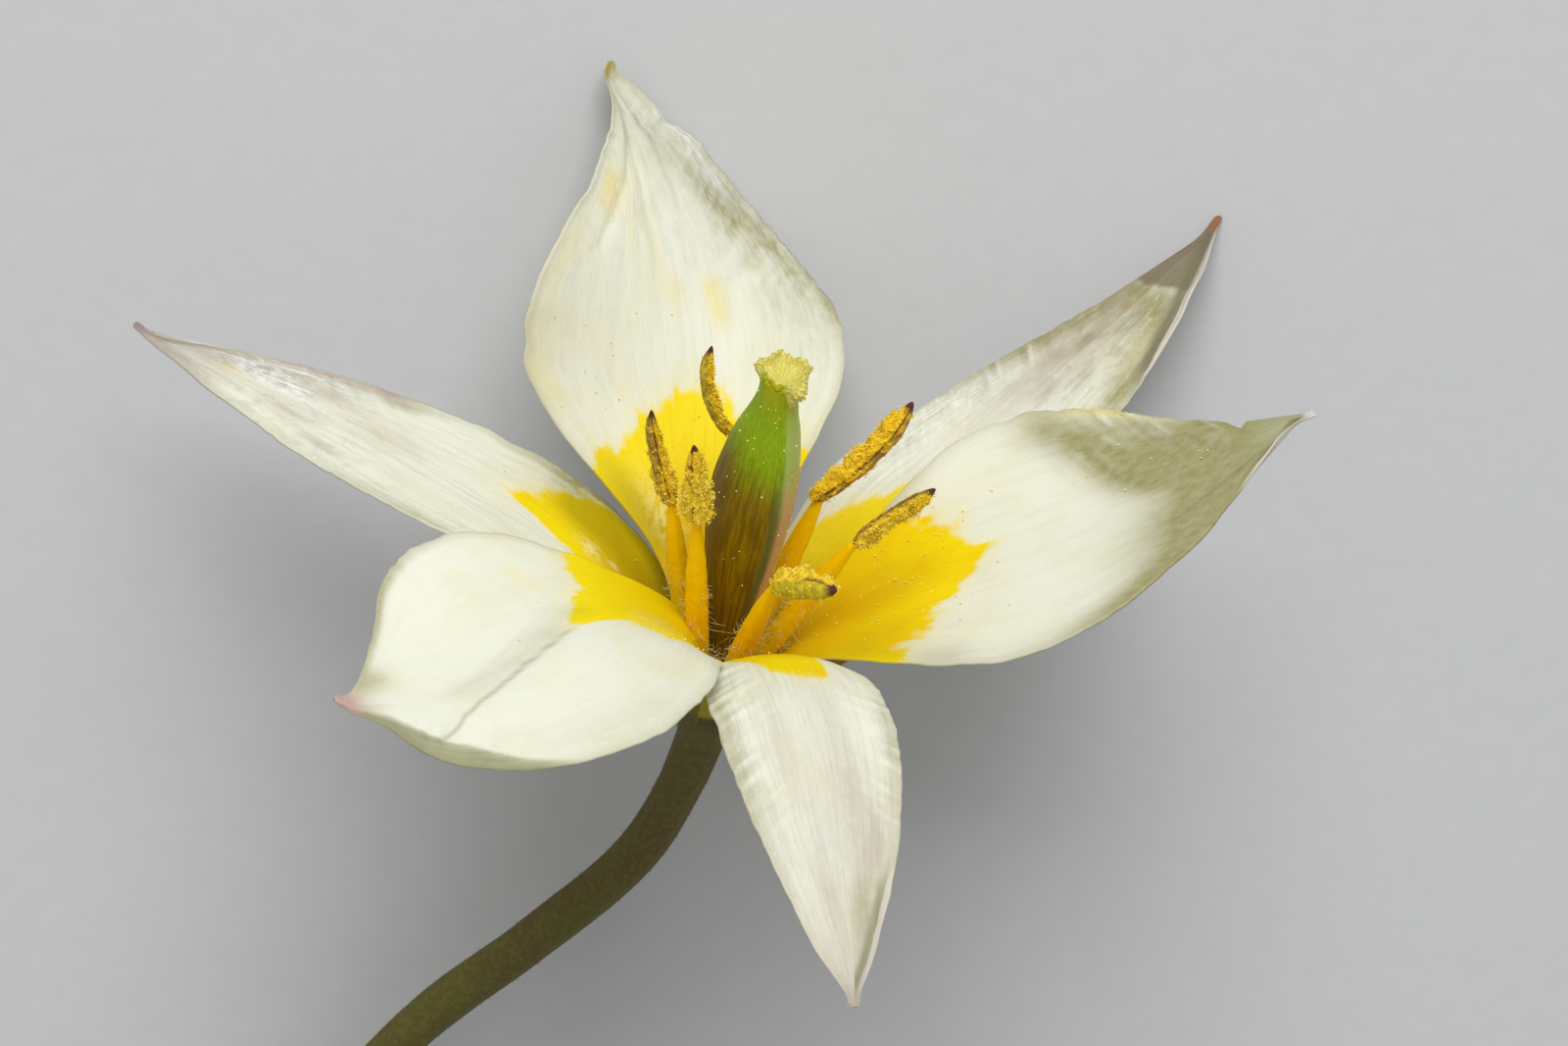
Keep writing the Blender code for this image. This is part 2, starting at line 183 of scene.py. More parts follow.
DETAIL = {
    "inner_tepal_right": PLAIN | {
        "blotch": (
            (-1, 0.295), (-0.74, 0.302), (-0.6, 0.325), (-0.29, 0.36), (-0.13, 0.39), (0.0, 0.42),
            (0.11, 0.445), (0.2, 0.405), (0.3, 0.385), (0.42, 0.375), (0.55, 0.35), (1, 0.28),
        ),
        "gold": 0.6, "veins": 0.22, "wave": 0.04, "pleats": 0.01, "mottle": 0.25, "glassy": 0.05,
        "blunt": 0.17,
        "tip": ((0.84, 0.84, 0.8), 0.35), "hook": (-0.35, -0.1, 0.93),
        "cap": (0.84, 0.08, (0.36, 0.38, 0.17), 0.55), "valley": (0.27, 0.23, 0.1),
        "margins": (
            (LEFT, 0.885, 0.016, 0.006, 0.4), (LEFT, 0.75, 0.08, 0.09, 0.2),
            (RIGHT, 0.93, 0.06, 0.05, -0.25), (RIGHT, 0.6, 0.25, 0.25, -0.28),
            (RIGHT, 0.42, 0.1, 0.1, -0.1),
        ),
        "folds": ((RIGHT, ((0.84, 1.0), (0.9, 0.8), (0.96, 0.6), (1.0, 0.3)), 40, 0.3),),
        "creases": (
            (((0.73, -0.43), (0.8, -0.46), (0.88, -0.5), (0.95, -0.56)), 0.14, 0.45, 0.9),
            (((0.8, -0.3), (0.88, -0.28), (0.95, -0.4)), 0.06, 0.3, 0.5),
            (((0.55, 0.8), (0.78, 0.1)), -0.1, 1.6, 0.0),
        ),
        "wrinkles": ((LEFT, 0.55, 0.93, 0.13, 0.5, -0.6),),
        "shade": (
            (0.25, -0.45, 1.8, 1.0, 0.36), (0.58, 0.85, 1.0, 1.0, 0.5), (0.62, 0.66, 1.1, 0.9, 0.7),
            (0.655, 0.45, 1.1, 0.9, 0.8), (0.695, 0.24, 1.2, 0.8, 0.75), (0.75, 0.05, 1.5, 0.7, 0.5),
            (0.68, 0.8, 1.7, 1.0, 0.6), (0.745, 0.5, 1.8, 1.1, 0.7), (0.82, 0.3, 1.8, 1.2, 0.6),
            (0.84, -0.5, 3.4, 3.0, 0.9), (0.75, -0.55, 2.3, 2.3, 0.45), (0.7, -0.95, 2.4, 1.0, 0.5),
            (0.63, -0.95, 1.6, 0.8, 0.4), (0.54, -0.97, 2.6, 0.9, 0.25), (0.37, -0.9, 1.2, 0.8, 0.35),
            (0.24, -0.85, 2.2, 0.9, 0.4), (0.55, 0.87, 1.4, 1.0, 0.35), (0.8, 0.9, 2.4, 0.5, 0.4),
            (0.86, -0.5, 1.2, 0.3, 0.5),
        ),
        "tan": ((0.65, 0.96, 1.2, 0.12, 0.6), (0.72, 0.95, 1.4, 0.08, 0.4)),
    },
    "inner_tepal_back": PLAIN | {
        "blotch": (
            (-1, 0.3), (-0.4, 0.36), (-0.24, 0.385), (-0.1, 0.425), (0.08, 0.425), (0.3, 0.368),
            (0.46, 0.355), (0.6, 0.33), (1, 0.3),
        ),
        "glints": ((0.83, -0.8, 2.0, 0.7, 0.8), (0.9, -0.3, 1.4, 0.5, 0.6), (0.2, 0.5, 1.4, 0.6, 0.8)),
        "gold": 0.05, "veins": 0.3, "wave": 0.06, "pleats": 0.03, "mottle": 0.65, "glassy": 0.12,
        "blunt": 0.36,
        "tip": ((0.55, 0.46, 0.17), 0.55), "hook": (-0.42, -0.02, 0.966),
        "cap": (0.86, 0.1, (0.62, 0.62, 0.42), 0.5), "valley": (0.5, 0.52, 0.34),
        "margins": (
            (RIGHT, 0.84, 0.03, 0.02, -0.12), (RIGHT, 0.878, 0.005, 0.014, 0.4),
            (RIGHT, 0.96, 0.04, 0.03, -0.36), (LEFT, 0.955, 0.03, 0.02, 0.25),
            (RIGHT, 0.74, 0.012, 0.03, 0.08), (RIGHT, 0.62, 0.012, 0.03, 0.08),
            (RIGHT, 0.4, 0.12, 0.1, -0.18), (LEFT, 0.34, 0.14, 0.12, -0.2),
            (LEFT, 0.775, 0.012, 0.03, 0.15), (LEFT, 0.93, 0.05, 0.03, 0.12),
        ),
        "creases": (
            (((0.7, -0.2), (0.98, -0.35)), 0.12, 0.45, 0.15), (((0.6, 0.1), (0.95, 0.2)), 0.09, 0.4, 0.0),
            (((0.66, 0.62), (0.84, 0.3)), 0.1, 0.6, 0.0), (((0.82, -0.6), (0.97, -0.1)), 0.1, 0.35, 0.12),
        ),
        "wrinkles": ((RIGHT, 0.5, 0.97, 0.06, 0.5, 0.8), (LEFT, 0.75, 0.97, 0.05, 0.5, 0.8)),
        "shade": (
            (0.67, -0.86, 0.5, 0.45, 0.9), (0.705, -0.77, 0.5, 0.6, 1.0), (0.735, -0.67, 0.6, 0.6, 0.8),
            (0.77, -0.56, 1.0, 0.6, 0.35), (0.81, -0.55, 1.4, 0.8, 0.25), (0.58, -0.95, 3.0, 1.2, 0.45),
            (0.2, 0.8, 2.6, 0.9, 0.9), (0.68, -0.6, 2.0, 1.2, 0.2), (0.75, -0.88, 0.8, 0.4, 0.5),
            (0.62, -0.88, 0.9, 0.4, 0.5), (0.55, -1, 1.2, 0.4, 0.5), (0.87, -0.3, 1.6, 0.3, 0.4),
            (0.9, 0.3, 1.6, 0.3, 0.4), (0.53, -0.7, 3.5, 1.4, 0.28), (0.74, -0.7, 2.4, 1.3, 0.35),
            (0.85, -0.2, 1.8, 1.0, 0.25),
        ),
        "blush": ((0.89, -0.2, 0.5, 0.2, 0.5),),
        "tan": (
            (0.785, 0.7, 0.7, 0.35, 1.0), (0.76, 0.55, 0.8, 0.6, 1.0), (0.585, -0.24, 0.5, 0.5, 0.8),
            (0.545, -0.24, 0.8, 0.45, 1.0), (0.58, 0.02, 0.8, 0.35, 0.6), (0.65, 0.1, 1.6, 0.25, 0.35),
            (0.5, 0.92, 2.6, 0.45, 0.3), (0.42, 0.88, 0.5, 0.3, 0.5), (0.46, 0.94, 0.5, 0.2, 0.5),
            (0.42, 0.42, 0.4, 0.3, 0.6), (0.7, 0.3, 1.5, 0.25, 0.3), (0.66, 0.86, 1.6, 0.3, 0.45),
        ),
    },
    "inner_tepal_left": PLAIN | {
        "blotch": (
            (-1, 0.33), (-0.88, 0.35), (-0.47, 0.385), (-0.28, 0.45), (-0.13, 0.495), (-0.07, 0.475),
            (-0.03, 0.39), (0.02, 0.36), (0.15, 0.36), (0.38, 0.34), (0.6, 0.28), (0.8, 0.245), (0.93, 0.3),
            (1, 0.33),
        ),
        "glints": ((0.3, 0.1, 1.6, 0.8, 0.6),),
        "gold": 0.0, "deep": 0.25, "veins": 0.12, "wave": 0.03, "pleats": 0.0, "mottle": 0.4,
        "glassy": 0.0, "blunt": 0.26,
        "tip": ((0.66, 0.46, 0.41), 1.3), "hook": (-0.05, 0.1, 0.93),
        "cap": (0.91, 0.06, (0.66, 0.58, 0.42), 0.7), "valley": (0.38, 0.38, 0.21),
        "margins": (
            (LEFT, 0.86, 0.012, 0.03, 0.06), (LEFT, 0.8, 0.012, 0.03, 0.06),
            (LEFT, 0.74, 0.012, 0.03, 0.05), (LEFT, 0.84, 0.06, 0.06, 0.4), (LEFT, 0.73, 0.14, 0.08, 0.16),
            (RIGHT, 0.5, 0.1, 0.06, -0.25), (LEFT, 0.92, 0.04, 0.05, 0.8), (RIGHT, 0.9, 0.05, 0.035, -0.08),
            (RIGHT, 0.17, 0.1, 0.1, -0.5),
        ),
        "folds": (
            (LEFT, ((0.71, 1.0), (0.75, 0.935), (0.78, 0.89), (0.8, 0.83), (0.84, 0.73), (0.88, 0.64),
                    (0.92, 0.6), (1.0, 0.5)), -38, -1),
        ),
        "pushes": (
            (0.06, 0.12, 0.5, -0.5, seen(0.6, 0.6, 0.15)), (0.14, 0.12, 0.2, 1.0, seen(-0.45, -0.95, 0.0)),
        ),
        "creases": (
            (((0.46, -0.11), (0.57, -0.05), (0.64, -0.03), (0.7, 0.03), (0.76, 0.13), (0.8, 0.25),
              (0.84, 0.53), (0.86, 0.7)), 0.14, 0.9, 0.8),
            (((0.43, -0.38), (0.51, -0.26), (0.61, -0.18), (0.7, -0.11), (0.8, -0.02)), 0.06, 0.6, 0.12),
        ),
        "wrinkles": ((LEFT, 0.72, 0.97, 0.04, 0.4, 0.8),),
        "shade": (
            (0.47, -0.2, 1.3, 0.45, 0.35), (0.56, -0.13, 1.6, 0.45, 0.35), (0.66, -0.07, 1.8, 0.4, 0.3),
            (0.75, -0.02, 1.4, 0.4, 0.25), (0.82, -0.98, 3.6, 0.3, 0.6), (0.7, -0.98, 3.0, 0.2, 0.5),
            (0.9, -0.55, 0.7, 0.6, 0.4), (0.62, 0.85, 4.0, 1.6, 0.25), (0.93, -0.7, 1.0, 0.5, 0.5),
        ),
        "blush": ((0.91, 0.9, 0.6, 0.3, 0.6),),
        "tan": ((0.48, -0.6, 0.5, 0.5, 0.4), (0.47, -0.48, 0.5, 0.4, 0.4), (0.4, 0.75, 0.5, 0.4, 0.3)),
    },
    "outer_tepal_right": PLAIN | {
        "blotch": (
            (-1, 0.3), (0, 0.38), (0.2, 0.36), (0.25, 0.33), (0.48, 0.28), (0.65, 0.24), (0.75, 0.2),
            (1, 0.14),
        ),
        "glints": ((0.45, 0.75, 4.0, 0.8, 0.6), (0.88, -0.8, 2.5, 0.3, 0.5)),
        "gold": 0.35, "veins": 0.7, "wave": 0.05, "pleats": 0.012, "mottle": 0.8, "glassy": 0.4,
        "blunt": 0.17, "slant": 0.03,
        "tip": ((0.44, 0.2, 0.1), 0.75), "hook": (0.1, 0.15, 0.93),
        "cap": (0.84, 0.012, (0.25, 0.2, 0.125), 0.92), "valley": (0.21, 0.19, 0.11),
        "margins": (
            (LEFT, 0.7, 0.25, 0.15, 0.14), (RIGHT, 0.9, 0.1, 0.06, -0.15), (LEFT, 0.3, 0.1, 0.1, -0.5),
        ),
        "folds": ((RIGHT, ((0.68, 1.0), (0.75, 0.95), (0.83, 0.845), (0.93, 0.62), (1.0, 0.3)), 55, 0.7),),
        "creases": (
            (((0.78, -0.12), (0.795, -0.2), (0.8, -0.6)), 0.05, 0.2, 0.6),
            (((0.7, 0.1), (0.74, -0.1), (0.76, -0.3)), 0.04, 0.2, 0.4),
            (((0.45, -0.1), (0.95, -0.1)), 0.08, 0.7, 0.0),
        ),
        "wrinkles": ((LEFT, 0.3, 0.86, 0.13, 0.5, 0.8), (RIGHT, 0.4, 0.7, 0.04, 0.6, 0.8)),
        "shade": (
            (0.8, -0.2, 2.2, 2.0, 0.36), (0.72, 0.3, 3.0, 1.6, 0.32), (0.71, 0.15, 0.6, 0.2, 0.6),
            (0.66, -0.3, 0.5, 0.25, 0.5), (0.74, 0.9, 2.2, 0.5, 0.6), (0.64, 0.98, 2.6, 0.4, 0.5),
            (0.56, 0.98, 2.6, 0.4, 0.4), (0.74, -0.75, 2.6, 0.8, 0.5), (0.66, -0.85, 1.6, 0.5, 0.7),
            (0.82, 0.0, 0.9, 1.5, 0.25), (0.81, -0.45, 1.2, 0.8, 0.3),
        ),
        "blush": (
            (0.68, 0.0, 3.0, 1.6, 0.35), (0.58, 0.2, 3.0, 1.0, 0.3), (0.78, 0.4, 1.0, 0.6, 0.4),
            (0.66, 0.3, 0.5, 0.3, 0.5), (0.6, -0.1, 0.6, 0.3, 0.5), (0.73, 0.0, 0.5, 0.25, 0.5),
        ),
        "tan": ((0.74, -0.7, 2.0, 0.6, 0.2),),
    },
    "outer_tepal_left": PLAIN | {
        "blotch": (
            (-1, 0.14), (-0.93, 0.24), (-0.88, 0.265), (-0.68, 0.315), (-0.47, 0.345), (-0.3, 0.37),
            (-0.22, 0.372), (-0.14, 0.325), (-0.06, 0.28), (0, 0.25), (1, 0.18),
        ),
        "glints": (
            (0.8, -0.45, 1.5, 0.6, 1.0), (0.75, -0.25, 1.3, 0.45, 0.8), (0.845, -0.37, 1.0, 0.35, 0.8),
            (0.7, -0.75, 1.8, 0.4, 0.7), (0.231, -0.26, 0.55, 0.3, 1.0), (0.186, -0.34, 0.35, 0.12, 0.9),
        ),
        "gold": 0.3, "veins": 0.65, "wave": 0.05, "pleats": 0.012, "mottle": 0.8, "glassy": 0.25,
        "blunt": 0.18,
        "tip": ((0.45, 0.36, 0.36), 0.7), "hook": (-0.12, 0.08, 0.955),
        "cap": (0.8, 0.1, (0.55, 0.5, 0.43), 0.5), "valley": (0.42, 0.38, 0.31),
        "margins": ((LEFT, 0.55, 0.22, 0.22, -0.18), (RIGHT, 0.32, 0.15, 0.12, -0.15)),
        "folds": ((RIGHT, ((0.84, 0.95), (0.92, 0.7), (1.0, 0.3)), 35, 0.3),),
        "creases": (
            (((0.5, 0.05), (0.97, 0.0)), 0.07, 0.6, 0.0), (((0.64, 0.55), (0.9, 0.4)), 0.05, 0.3, 0.15),
        ),
        "wrinkles": ((LEFT, 0.3, 0.8, 0.04, 0.5, 0.8), (RIGHT, 0.5, 0.97, 0.035, 0.5, 0.8)),
        "shade": (
            (0.585, -0.8, 0.8, 0.25, 0.6), (0.78, -0.75, 3.0, 0.7, 0.5), (0.5, 0.9, 2.5, 0.3, 0.35),
            (0.27, -0.6, 1.6, 0.8, 0.9), (0.16, -0.5, 2.0, 0.9, 0.8), (0.32, -0.96, 2.0, 0.25, 0.6),
            (0.24, -0.85, 2.4, 0.7, 0.8),
        ),
        # Rows three and four of the blush are the grey of the painted reflection round the glints.
        "blush": (
            (0.93, 0.7, 1.4, 0.25, 1.0), (0.955, 0.3, 0.4, 0.3, 1.0), (0.85, -0.28, 1.0, 0.4, 0.7),
            (0.79, -0.45, 1.4, 0.4, 0.7), (0.72, -0.9, 1.8, 0.35, 1.0), (0.61, -0.95, 1.2, 0.3, 1.0),
            (0.69, -0.4, 1.0, 0.35, 0.6), (0.6, -0.1, 2.2, 0.6, 0.3), (0.67, 0.65, 1.0, 0.25, 0.6),
            (0.73, 0.35, 1.2, 0.3, 0.5),
        ),
        "tan": ((0.84, -0.05, 0.5, 0.3, 0.6), (0.97, 0.0, 0.25, 0.2, 1.0)),
    },
    "outer_tepal_front": PLAIN | {
        "blotch": (
            (-1, 0.2), (-0.75, 0.26), (-0.55, 0.35), (-0.3, 0.4), (0, 0.43), (0.25, 0.445), (0.4, 0.45),
            (0.48, 0.36), (0.6, 0.27), (1, 0.16),
        ),
        "gold": 0.5, "veins": 0.55, "wave": 0.05, "pleats": 0.01, "mottle": 0.65, "glassy": 0.08,
        "blunt": 0.24,
        "tip": ((0.66, 0.58, 0.46), 0.7), "hook": (-0.2, 0.0, 0.9),
        "cap": (0.84, 0.1, (0.68, 0.62, 0.5), 0.5), "valley": (0.33, 0.33, 0.19),
        "margins": (
            (LEFT, 0.5, 0.012, 0.03, 0.06), (LEFT, 0.6, 0.25, 0.2, 0.14), (RIGHT, 0.42, 0.2, 0.2, -0.13),
            (RIGHT, 0.91, 0.07, 0.05, -0.22), (LEFT, 0.91, 0.07, 0.05, -0.08),
            (RIGHT, 0.96, 0.04, 0.02, -0.16), (LEFT, 0.96, 0.04, 0.02, -0.1),
        ),
        "folds": ((LEFT, ((0.8, 0.97), (0.84, 0.86), (0.89, 0.78), (0.94, 0.64), (1.0, 0.3)), 45, 0.5),),
        "creases": (
            (((0.5, 0.3), (0.7, 0.4), (0.95, 0.45)), 0.06, 0.4, 0.1),
            (((0.5, -0.15), (0.9, -0.05)), 0.05, 0.4, 0.0),
        ),
        "wrinkles": ((RIGHT, 0.3, 0.78, 0.075, 0.5, 0.8), (LEFT, 0.42, 0.8, 0.05, 0.5, 0.8)),
        "shade": (
            (0.88, 0.35, 1.4, 0.4, 0.6), (0.5, -0.9, 4.0, 0.35, 0.45), (0.6, 0.9, 3.0, 0.35, 0.4),
            (0.68, -0.9, 3.0, 0.7, 0.25), (0.8, 0.75, 3.0, 0.8, 0.2),
        ),
        # The last row of the blush is a broad painted shade over the blade's distal part.
        "blush": (
            (0.72, 0.3, 3.0, 0.5, 0.3), (0.6, -0.4, 3.0, 0.5, 0.3), (0.85, -0.3, 2.0, 0.4, 0.3),
            (0.77, 0.6, 1.6, 0.4, 0.45), (0.6, 0.1, 4.0, 1.0, 0.25), (0.82, 0.0, 5.0, 3.5, 0.22),
        ),
    },
}

# Anthers. foot, bend, hook: how far the foot, the middle and the tip are moved, in mm.
# bare: the side on which the wall shows. open: how far round it begins. seam: the seam's side.
# slender: share of the full width. taper: how much it narrows. olive: how olive the wall is.
# pollen, pale: how thick and how pale the pollen is at the foot, the middle and the tip.
ANTHERS = (
    {
        "foot": seen(0, 0, 0), "bend": seen(-0.05, 0.1, 0), "hook": seen(-0.06, 0.04, 0),
        "bare": seen(-0.45, 0.85, 0.2), "open": 0.1, "seam": seen(-0.3, 0.6, 0.5),
        "slender": 0.95, "taper": 0.15,
        "pollen": (0.75, 0.85, 0.6), "pale": (0.7, 0.5, 0.1), "olive": 0.15,
    },
    {
        "foot": seen(-0.45, -0.1, 0.1), "bend": seen(0.18, -0.2, 0), "hook": seen(0.03, 0.08, 0),
        "bare": seen(0.6, -0.8, 0.2), "open": 0.5, "seam": seen(0.3, -0.3, 0.85),
        "slender": 0.9, "taper": 0.05,
        "pollen": (1.0, 1.0, 0.8), "pale": (0.35, 0.3, 0.1), "olive": 0.0,
    },
    {
        "foot": seen(0, 0, 0), "bend": seen(-0.42, -0.22, 0), "hook": seen(0.1, 0.0, 0),
        "bare": seen(-0.8, 0.2, 0.5), "open": 0.0, "seam": seen(-1.0, 0.0, 0.3),
        "slender": 0.8, "taper": 0.0,
        "pollen": (0.7, 0.6, 0.55), "pale": (0.4, 0.2, 0.0), "olive": 0.45,
    },
    {
        "foot": seen(0, 0, 0), "bend": seen(-0.06, 0, 0), "hook": seen(0.08, 0.06, 0),
        "bare": seen(-0.5, 0.3, 0.8), "open": 0.2, "seam": seen(0.1, 0.0, 1.0),
        "slender": 1.0, "taper": 0.4,
        "pollen": (0.95, 0.6, 0.3), "pale": (0.8, 0.4, 0.0), "olive": 0.1,
    },
    {
        "foot": seen(0, 0, 0), "bend": seen(0.05, 0, 0), "hook": seen(0.02, 0.1, 0),
        "bare": seen(-0.6, 0.8, 0.3), "open": 0.4, "seam": seen(-0.35, 0.0, 1.0),
        "slender": 1.0, "taper": 0.6,
        "pollen": (0.9, 1.0, 0.3), "pale": (1.0, 1.0, 0.1), "olive": 0.0,
    },
    {
        "foot": seen(0, 0, 0), "bend": seen(0.0, 0.06, 0), "hook": seen(0.1, -0.05, 0),
        "bare": seen(-0.1, -0.55, 0.8), "open": -0.1, "seam": seen(0.0, 0.45, 0.8),
        "slender": 1.0, "taper": 0.15,
        "pollen": (1.0, 0.85, 0.5), "pale": (1.0, 0.9, 0.5), "olive": 1.0,
    },
)

# The stigma's rim: azimuth in degrees, reach in mm.
CROWN = (
    (-72, 0.82), (-54, 1.04), (-40, 1.2), (-22, 1.04), (-4, 0.94), (16, 1.0), (34, 1.14), (46, 1.2),
    (62, 1.02), (76, 0.92), (92, 1.08), (106, 1.2), (120, 1.0), (136, 0.9), (150, 1.04), (163, 1.16),
    (178, 0.95), (196, 0.82), (230, 0.76), (262, 0.76),
)
HANGING_LOBE = -40  # the azimuth of the stigma's lobe that hangs lowest

# Pollen that fell on the tepals: tepal, reach and place across with their spreads, grains, their size.
DUST = (
    ("inner_tepal_right", 0.68, 0.035, 0.985, 0.015, 170, 0.6),
    ("inner_tepal_right", 0.62, 0.08, 0.95, 0.05, 30, 0.7),
    ("inner_tepal_right", 0.3, 0.08, 0.0, 0.45, 90, 1.0),
    ("inner_tepal_right", 0.7, 0.08, 0.3, 0.3, 10, 1.0),
    ("inner_tepal_back", 0.42, 0.08, 0.6, 0.35, 24, 1.0),
    ("inner_tepal_back", 0.3, 0.08, 0.0, 0.35, 34, 1.0),
    ("inner_tepal_left", 0.22, 0.08, 0.5, 0.2, 14, 1.0),
    ("inner_tepal_left", 0.45, 0.08, -0.2, 0.25, 8, 1.0),
    ("outer_tepal_right", 0.3, 0.08, 0.3, 0.3, 12, 1.0),
    ("outer_tepal_left", 0.25, 0.08, -0.4, 0.25, 8, 1.0),
    ("outer_tepal_front", 0.38, 0.08, 0.0, 0.3, 8, 1.0),
)

# ---------------------------------------------------------------- colours, as linear values

WHITE = (0.87, 0.88, 0.75)
CREAM = (0.84, 0.82, 0.60)
VEIN_WHITE = (0.73, 0.735, 0.61)
THREAD_GREY = (0.57, 0.57, 0.48)
SHADE_OLIVE = (0.315, 0.285, 0.09)
# Mauve blush, also used for a few rows of painted shade.
MAUVE_BLUSH_AND_SHADE = (0.50, 0.41, 0.34)
TAN_SMUDGE = (0.92, 0.78, 0.30)
# Grey of the clear patches, and of the painted reflection at the glints.
GLASSY_AND_REFLECTION_GREY = (0.40, 0.40, 0.30)
# Painted highlights at the glints, on the white and on the yellow.
PAINTED_HIGHLIGHT_WHITE = (0.97, 0.97, 0.96)
PAINTED_HIGHLIGHT_YELLOW = (0.98, 0.84, 0.30)
# Painted shade along the creases, in brown.
CREASE_SHADE_BROWN = (0.36, 0.32, 0.20)
# Painted shade on a fold's strip of margin.
STRIP_PAINTED_SHADE = (0.74, 0.70, 0.61)
HALO = (0.92, 0.86, 0.36)
LEMON = (0.99, 0.79, 0.0)
GOLD = (0.90, 0.57, 0.0)
# Painted light at the inner tepals' feet.
PAINTED_LIGHT_AMBER = (1.0, 0.73, 0.0)
# Olive gold for streaks in the yellow, and for painted shade in it and at the outer tepals' feet.
OLIVE_GOLD_VEINS_AND_SHADE = (0.42, 0.31, 0.0)
BACK_GREEN = (0.36, 0.42, 0.22)
BACK_MAUVE = (0.42, 0.33, 0.33)
BACK_FOOT = (0.42, 0.35, 0.012)

FILAMENT_FOOT = (1.0, 0.72, 0.0)
FILAMENT_ORANGE = (1.0, 0.63, 0.0)
FILAMENT_LIGHT = (1.0, 0.74, 0.0)
FILAMENT_TOP = (0.80, 0.46, 0.01)
FILAMENT_HAIR = (0.90, 0.80, 0.42)

WALL_BROWN, WALL_TAN = (0.27, 0.145, 0.025), (0.56, 0.38, 0.04)
WALL_OLIVE, WALL_LIME = (0.46, 0.36, 0.015), (0.68, 0.54, 0.03)
SEAM_MAROON = (0.15, 0.04, 0.03)
TIP_MAROON = (0.085, 0.026, 0.02)
POLLEN_GOLD, POLLEN_BRIGHT = (0.76, 0.47, 0.006), (0.97, 0.70, 0.03)
POLLEN_PALE, POLLEN_CREAM = (0.84, 0.60, 0.03), (0.98, 0.84, 0.20)
POLLEN_SHADE = (0.50, 0.30, 0.004)
FALLEN_GOLD, FALLEN_PALE = (0.84, 0.66, 0.06), (0.90, 0.80, 0.30)

OVARY_BROWN, OVARY_TAN = (0.15, 0.09, 0.002), (0.26, 0.165, 0.003)
OVARY_STREAK = (0.095, 0.05, 0.004)
# Painted shade on one face of the ovary.
OVARY_PAINTED_SHADE = (0.14, 0.09, 0.02)
# The mauve face, painted lighter as the lit side.
OVARY_MAUVE_PAINTED_LIGHT = (0.56, 0.33, 0.17)
OVARY_EDGE = (0.11, 0.13, 0.035)
OVARY_GREEN, OVARY_BRIGHT = (0.20, 0.32, 0.001), (0.31, 0.45, 0.002)
# Painted highlight on the lit face, where the ovary is green.
OVARY_PAINTED_HIGHLIGHT = (0.40, 0.52, 0.12)
OVARY_SPECK = (0.72, 0.62, 0.20)
NECK_YELLOW = (0.44, 0.43, 0.003)
STIGMA_STRAW, STIGMA_CREAM = (0.62, 0.54, 0.07), (0.86, 0.79, 0.30)
STIGMA_GREEN = (0.50, 0.48, 0.05)
STRAY_GRAIN = (0.96, 0.86, 0.36)

STEM_OLIVE = (0.11, 0.10, 0.02)
STEM_BROWN = (0.115, 0.082, 0.022)
STEM_LIGHT = (0.175, 0.165, 0.05)
STEM_HAIR = (0.22, 0.20, 0.08)
RECEPTACLE_YELLOW = (0.44, 0.37, 0.01)
CUT_GREEN = (0.46, 0.50, 0.24)

HAIR_STRAW, HAIR_GOLD = (0.92, 0.82, 0.42), (0.84, 0.62, 0.14)
CARD_GREY, CARD_LIGHT = (0.54, 0.545, 0.55), (0.57, 0.575, 0.58)

# ---------------------------------------------------------------- shared geometry


def unit(vectors):
    """The vectors at length one."""
    return vectors / np.maximum(np.linalg.norm(vectors, axis=-1, keepdims=True), 1e-12)


def smooth(value, low=0.0, high=1.0):
    """A smooth step from 0 at low to 1 at high."""
    u = np.clip((value - low) / (high - low), 0, 1)
    return u * u * (3 - 2 * u)


def evenly(values, t):
    """A smooth curve through evenly spaced values, read at t from 0 to 1."""
    values = np.asarray(values, float)
    slopes = np.gradient(values)
    place = np.clip(t, 0, 1) * (len(values) - 1)
    i = np.minimum(place.astype(int), len(values) - 2)
    u = place - i
    start = (2 * u**3 - 3 * u**2 + 1) * values[i] + (u**3 - 2 * u**2 + u) * slopes[i]
    end = (3 * u**2 - 2 * u**3) * values[i + 1] + (u**3 - u**2) * slopes[i + 1]
    return start + end


def around(sides):
    """The directions of a ring's points, in radians."""
    return np.arange(sides) * 2 * math.pi / sides


def polar(radius, azimuth, height):
    """Points given by their distance from the axis, azimuth and height."""
    x, y, z = np.broadcast_arrays(radius * np.cos(azimuth), radius * np.sin(azimuth), height)
    return np.stack([x, y, z], -1)


NOISE_CELLS = 97


def noise(x, y, seed):
    """Smooth noise between -1 and 1 whose lumps are about one unit wide."""
    x, y = np.broadcast_arrays(x, y)
    table = np.random.default_rng(seed).uniform(-1, 1, (NOISE_CELLS, NOISE_CELLS))
    column, row = np.floor(x).astype(int), np.floor(y).astype(int)
    u, v = smooth(x - column), smooth(y - row)

    def corner(i, j):
        return table[(row + i) % NOISE_CELLS, (column + j) % NOISE_CELLS]

    lower = corner(0, 0) * (1 - u) + corner(0, 1) * u
    upper = corner(1, 0) * (1 - u) + corner(1, 1) * u
    return lower * (1 - v) + upper * v


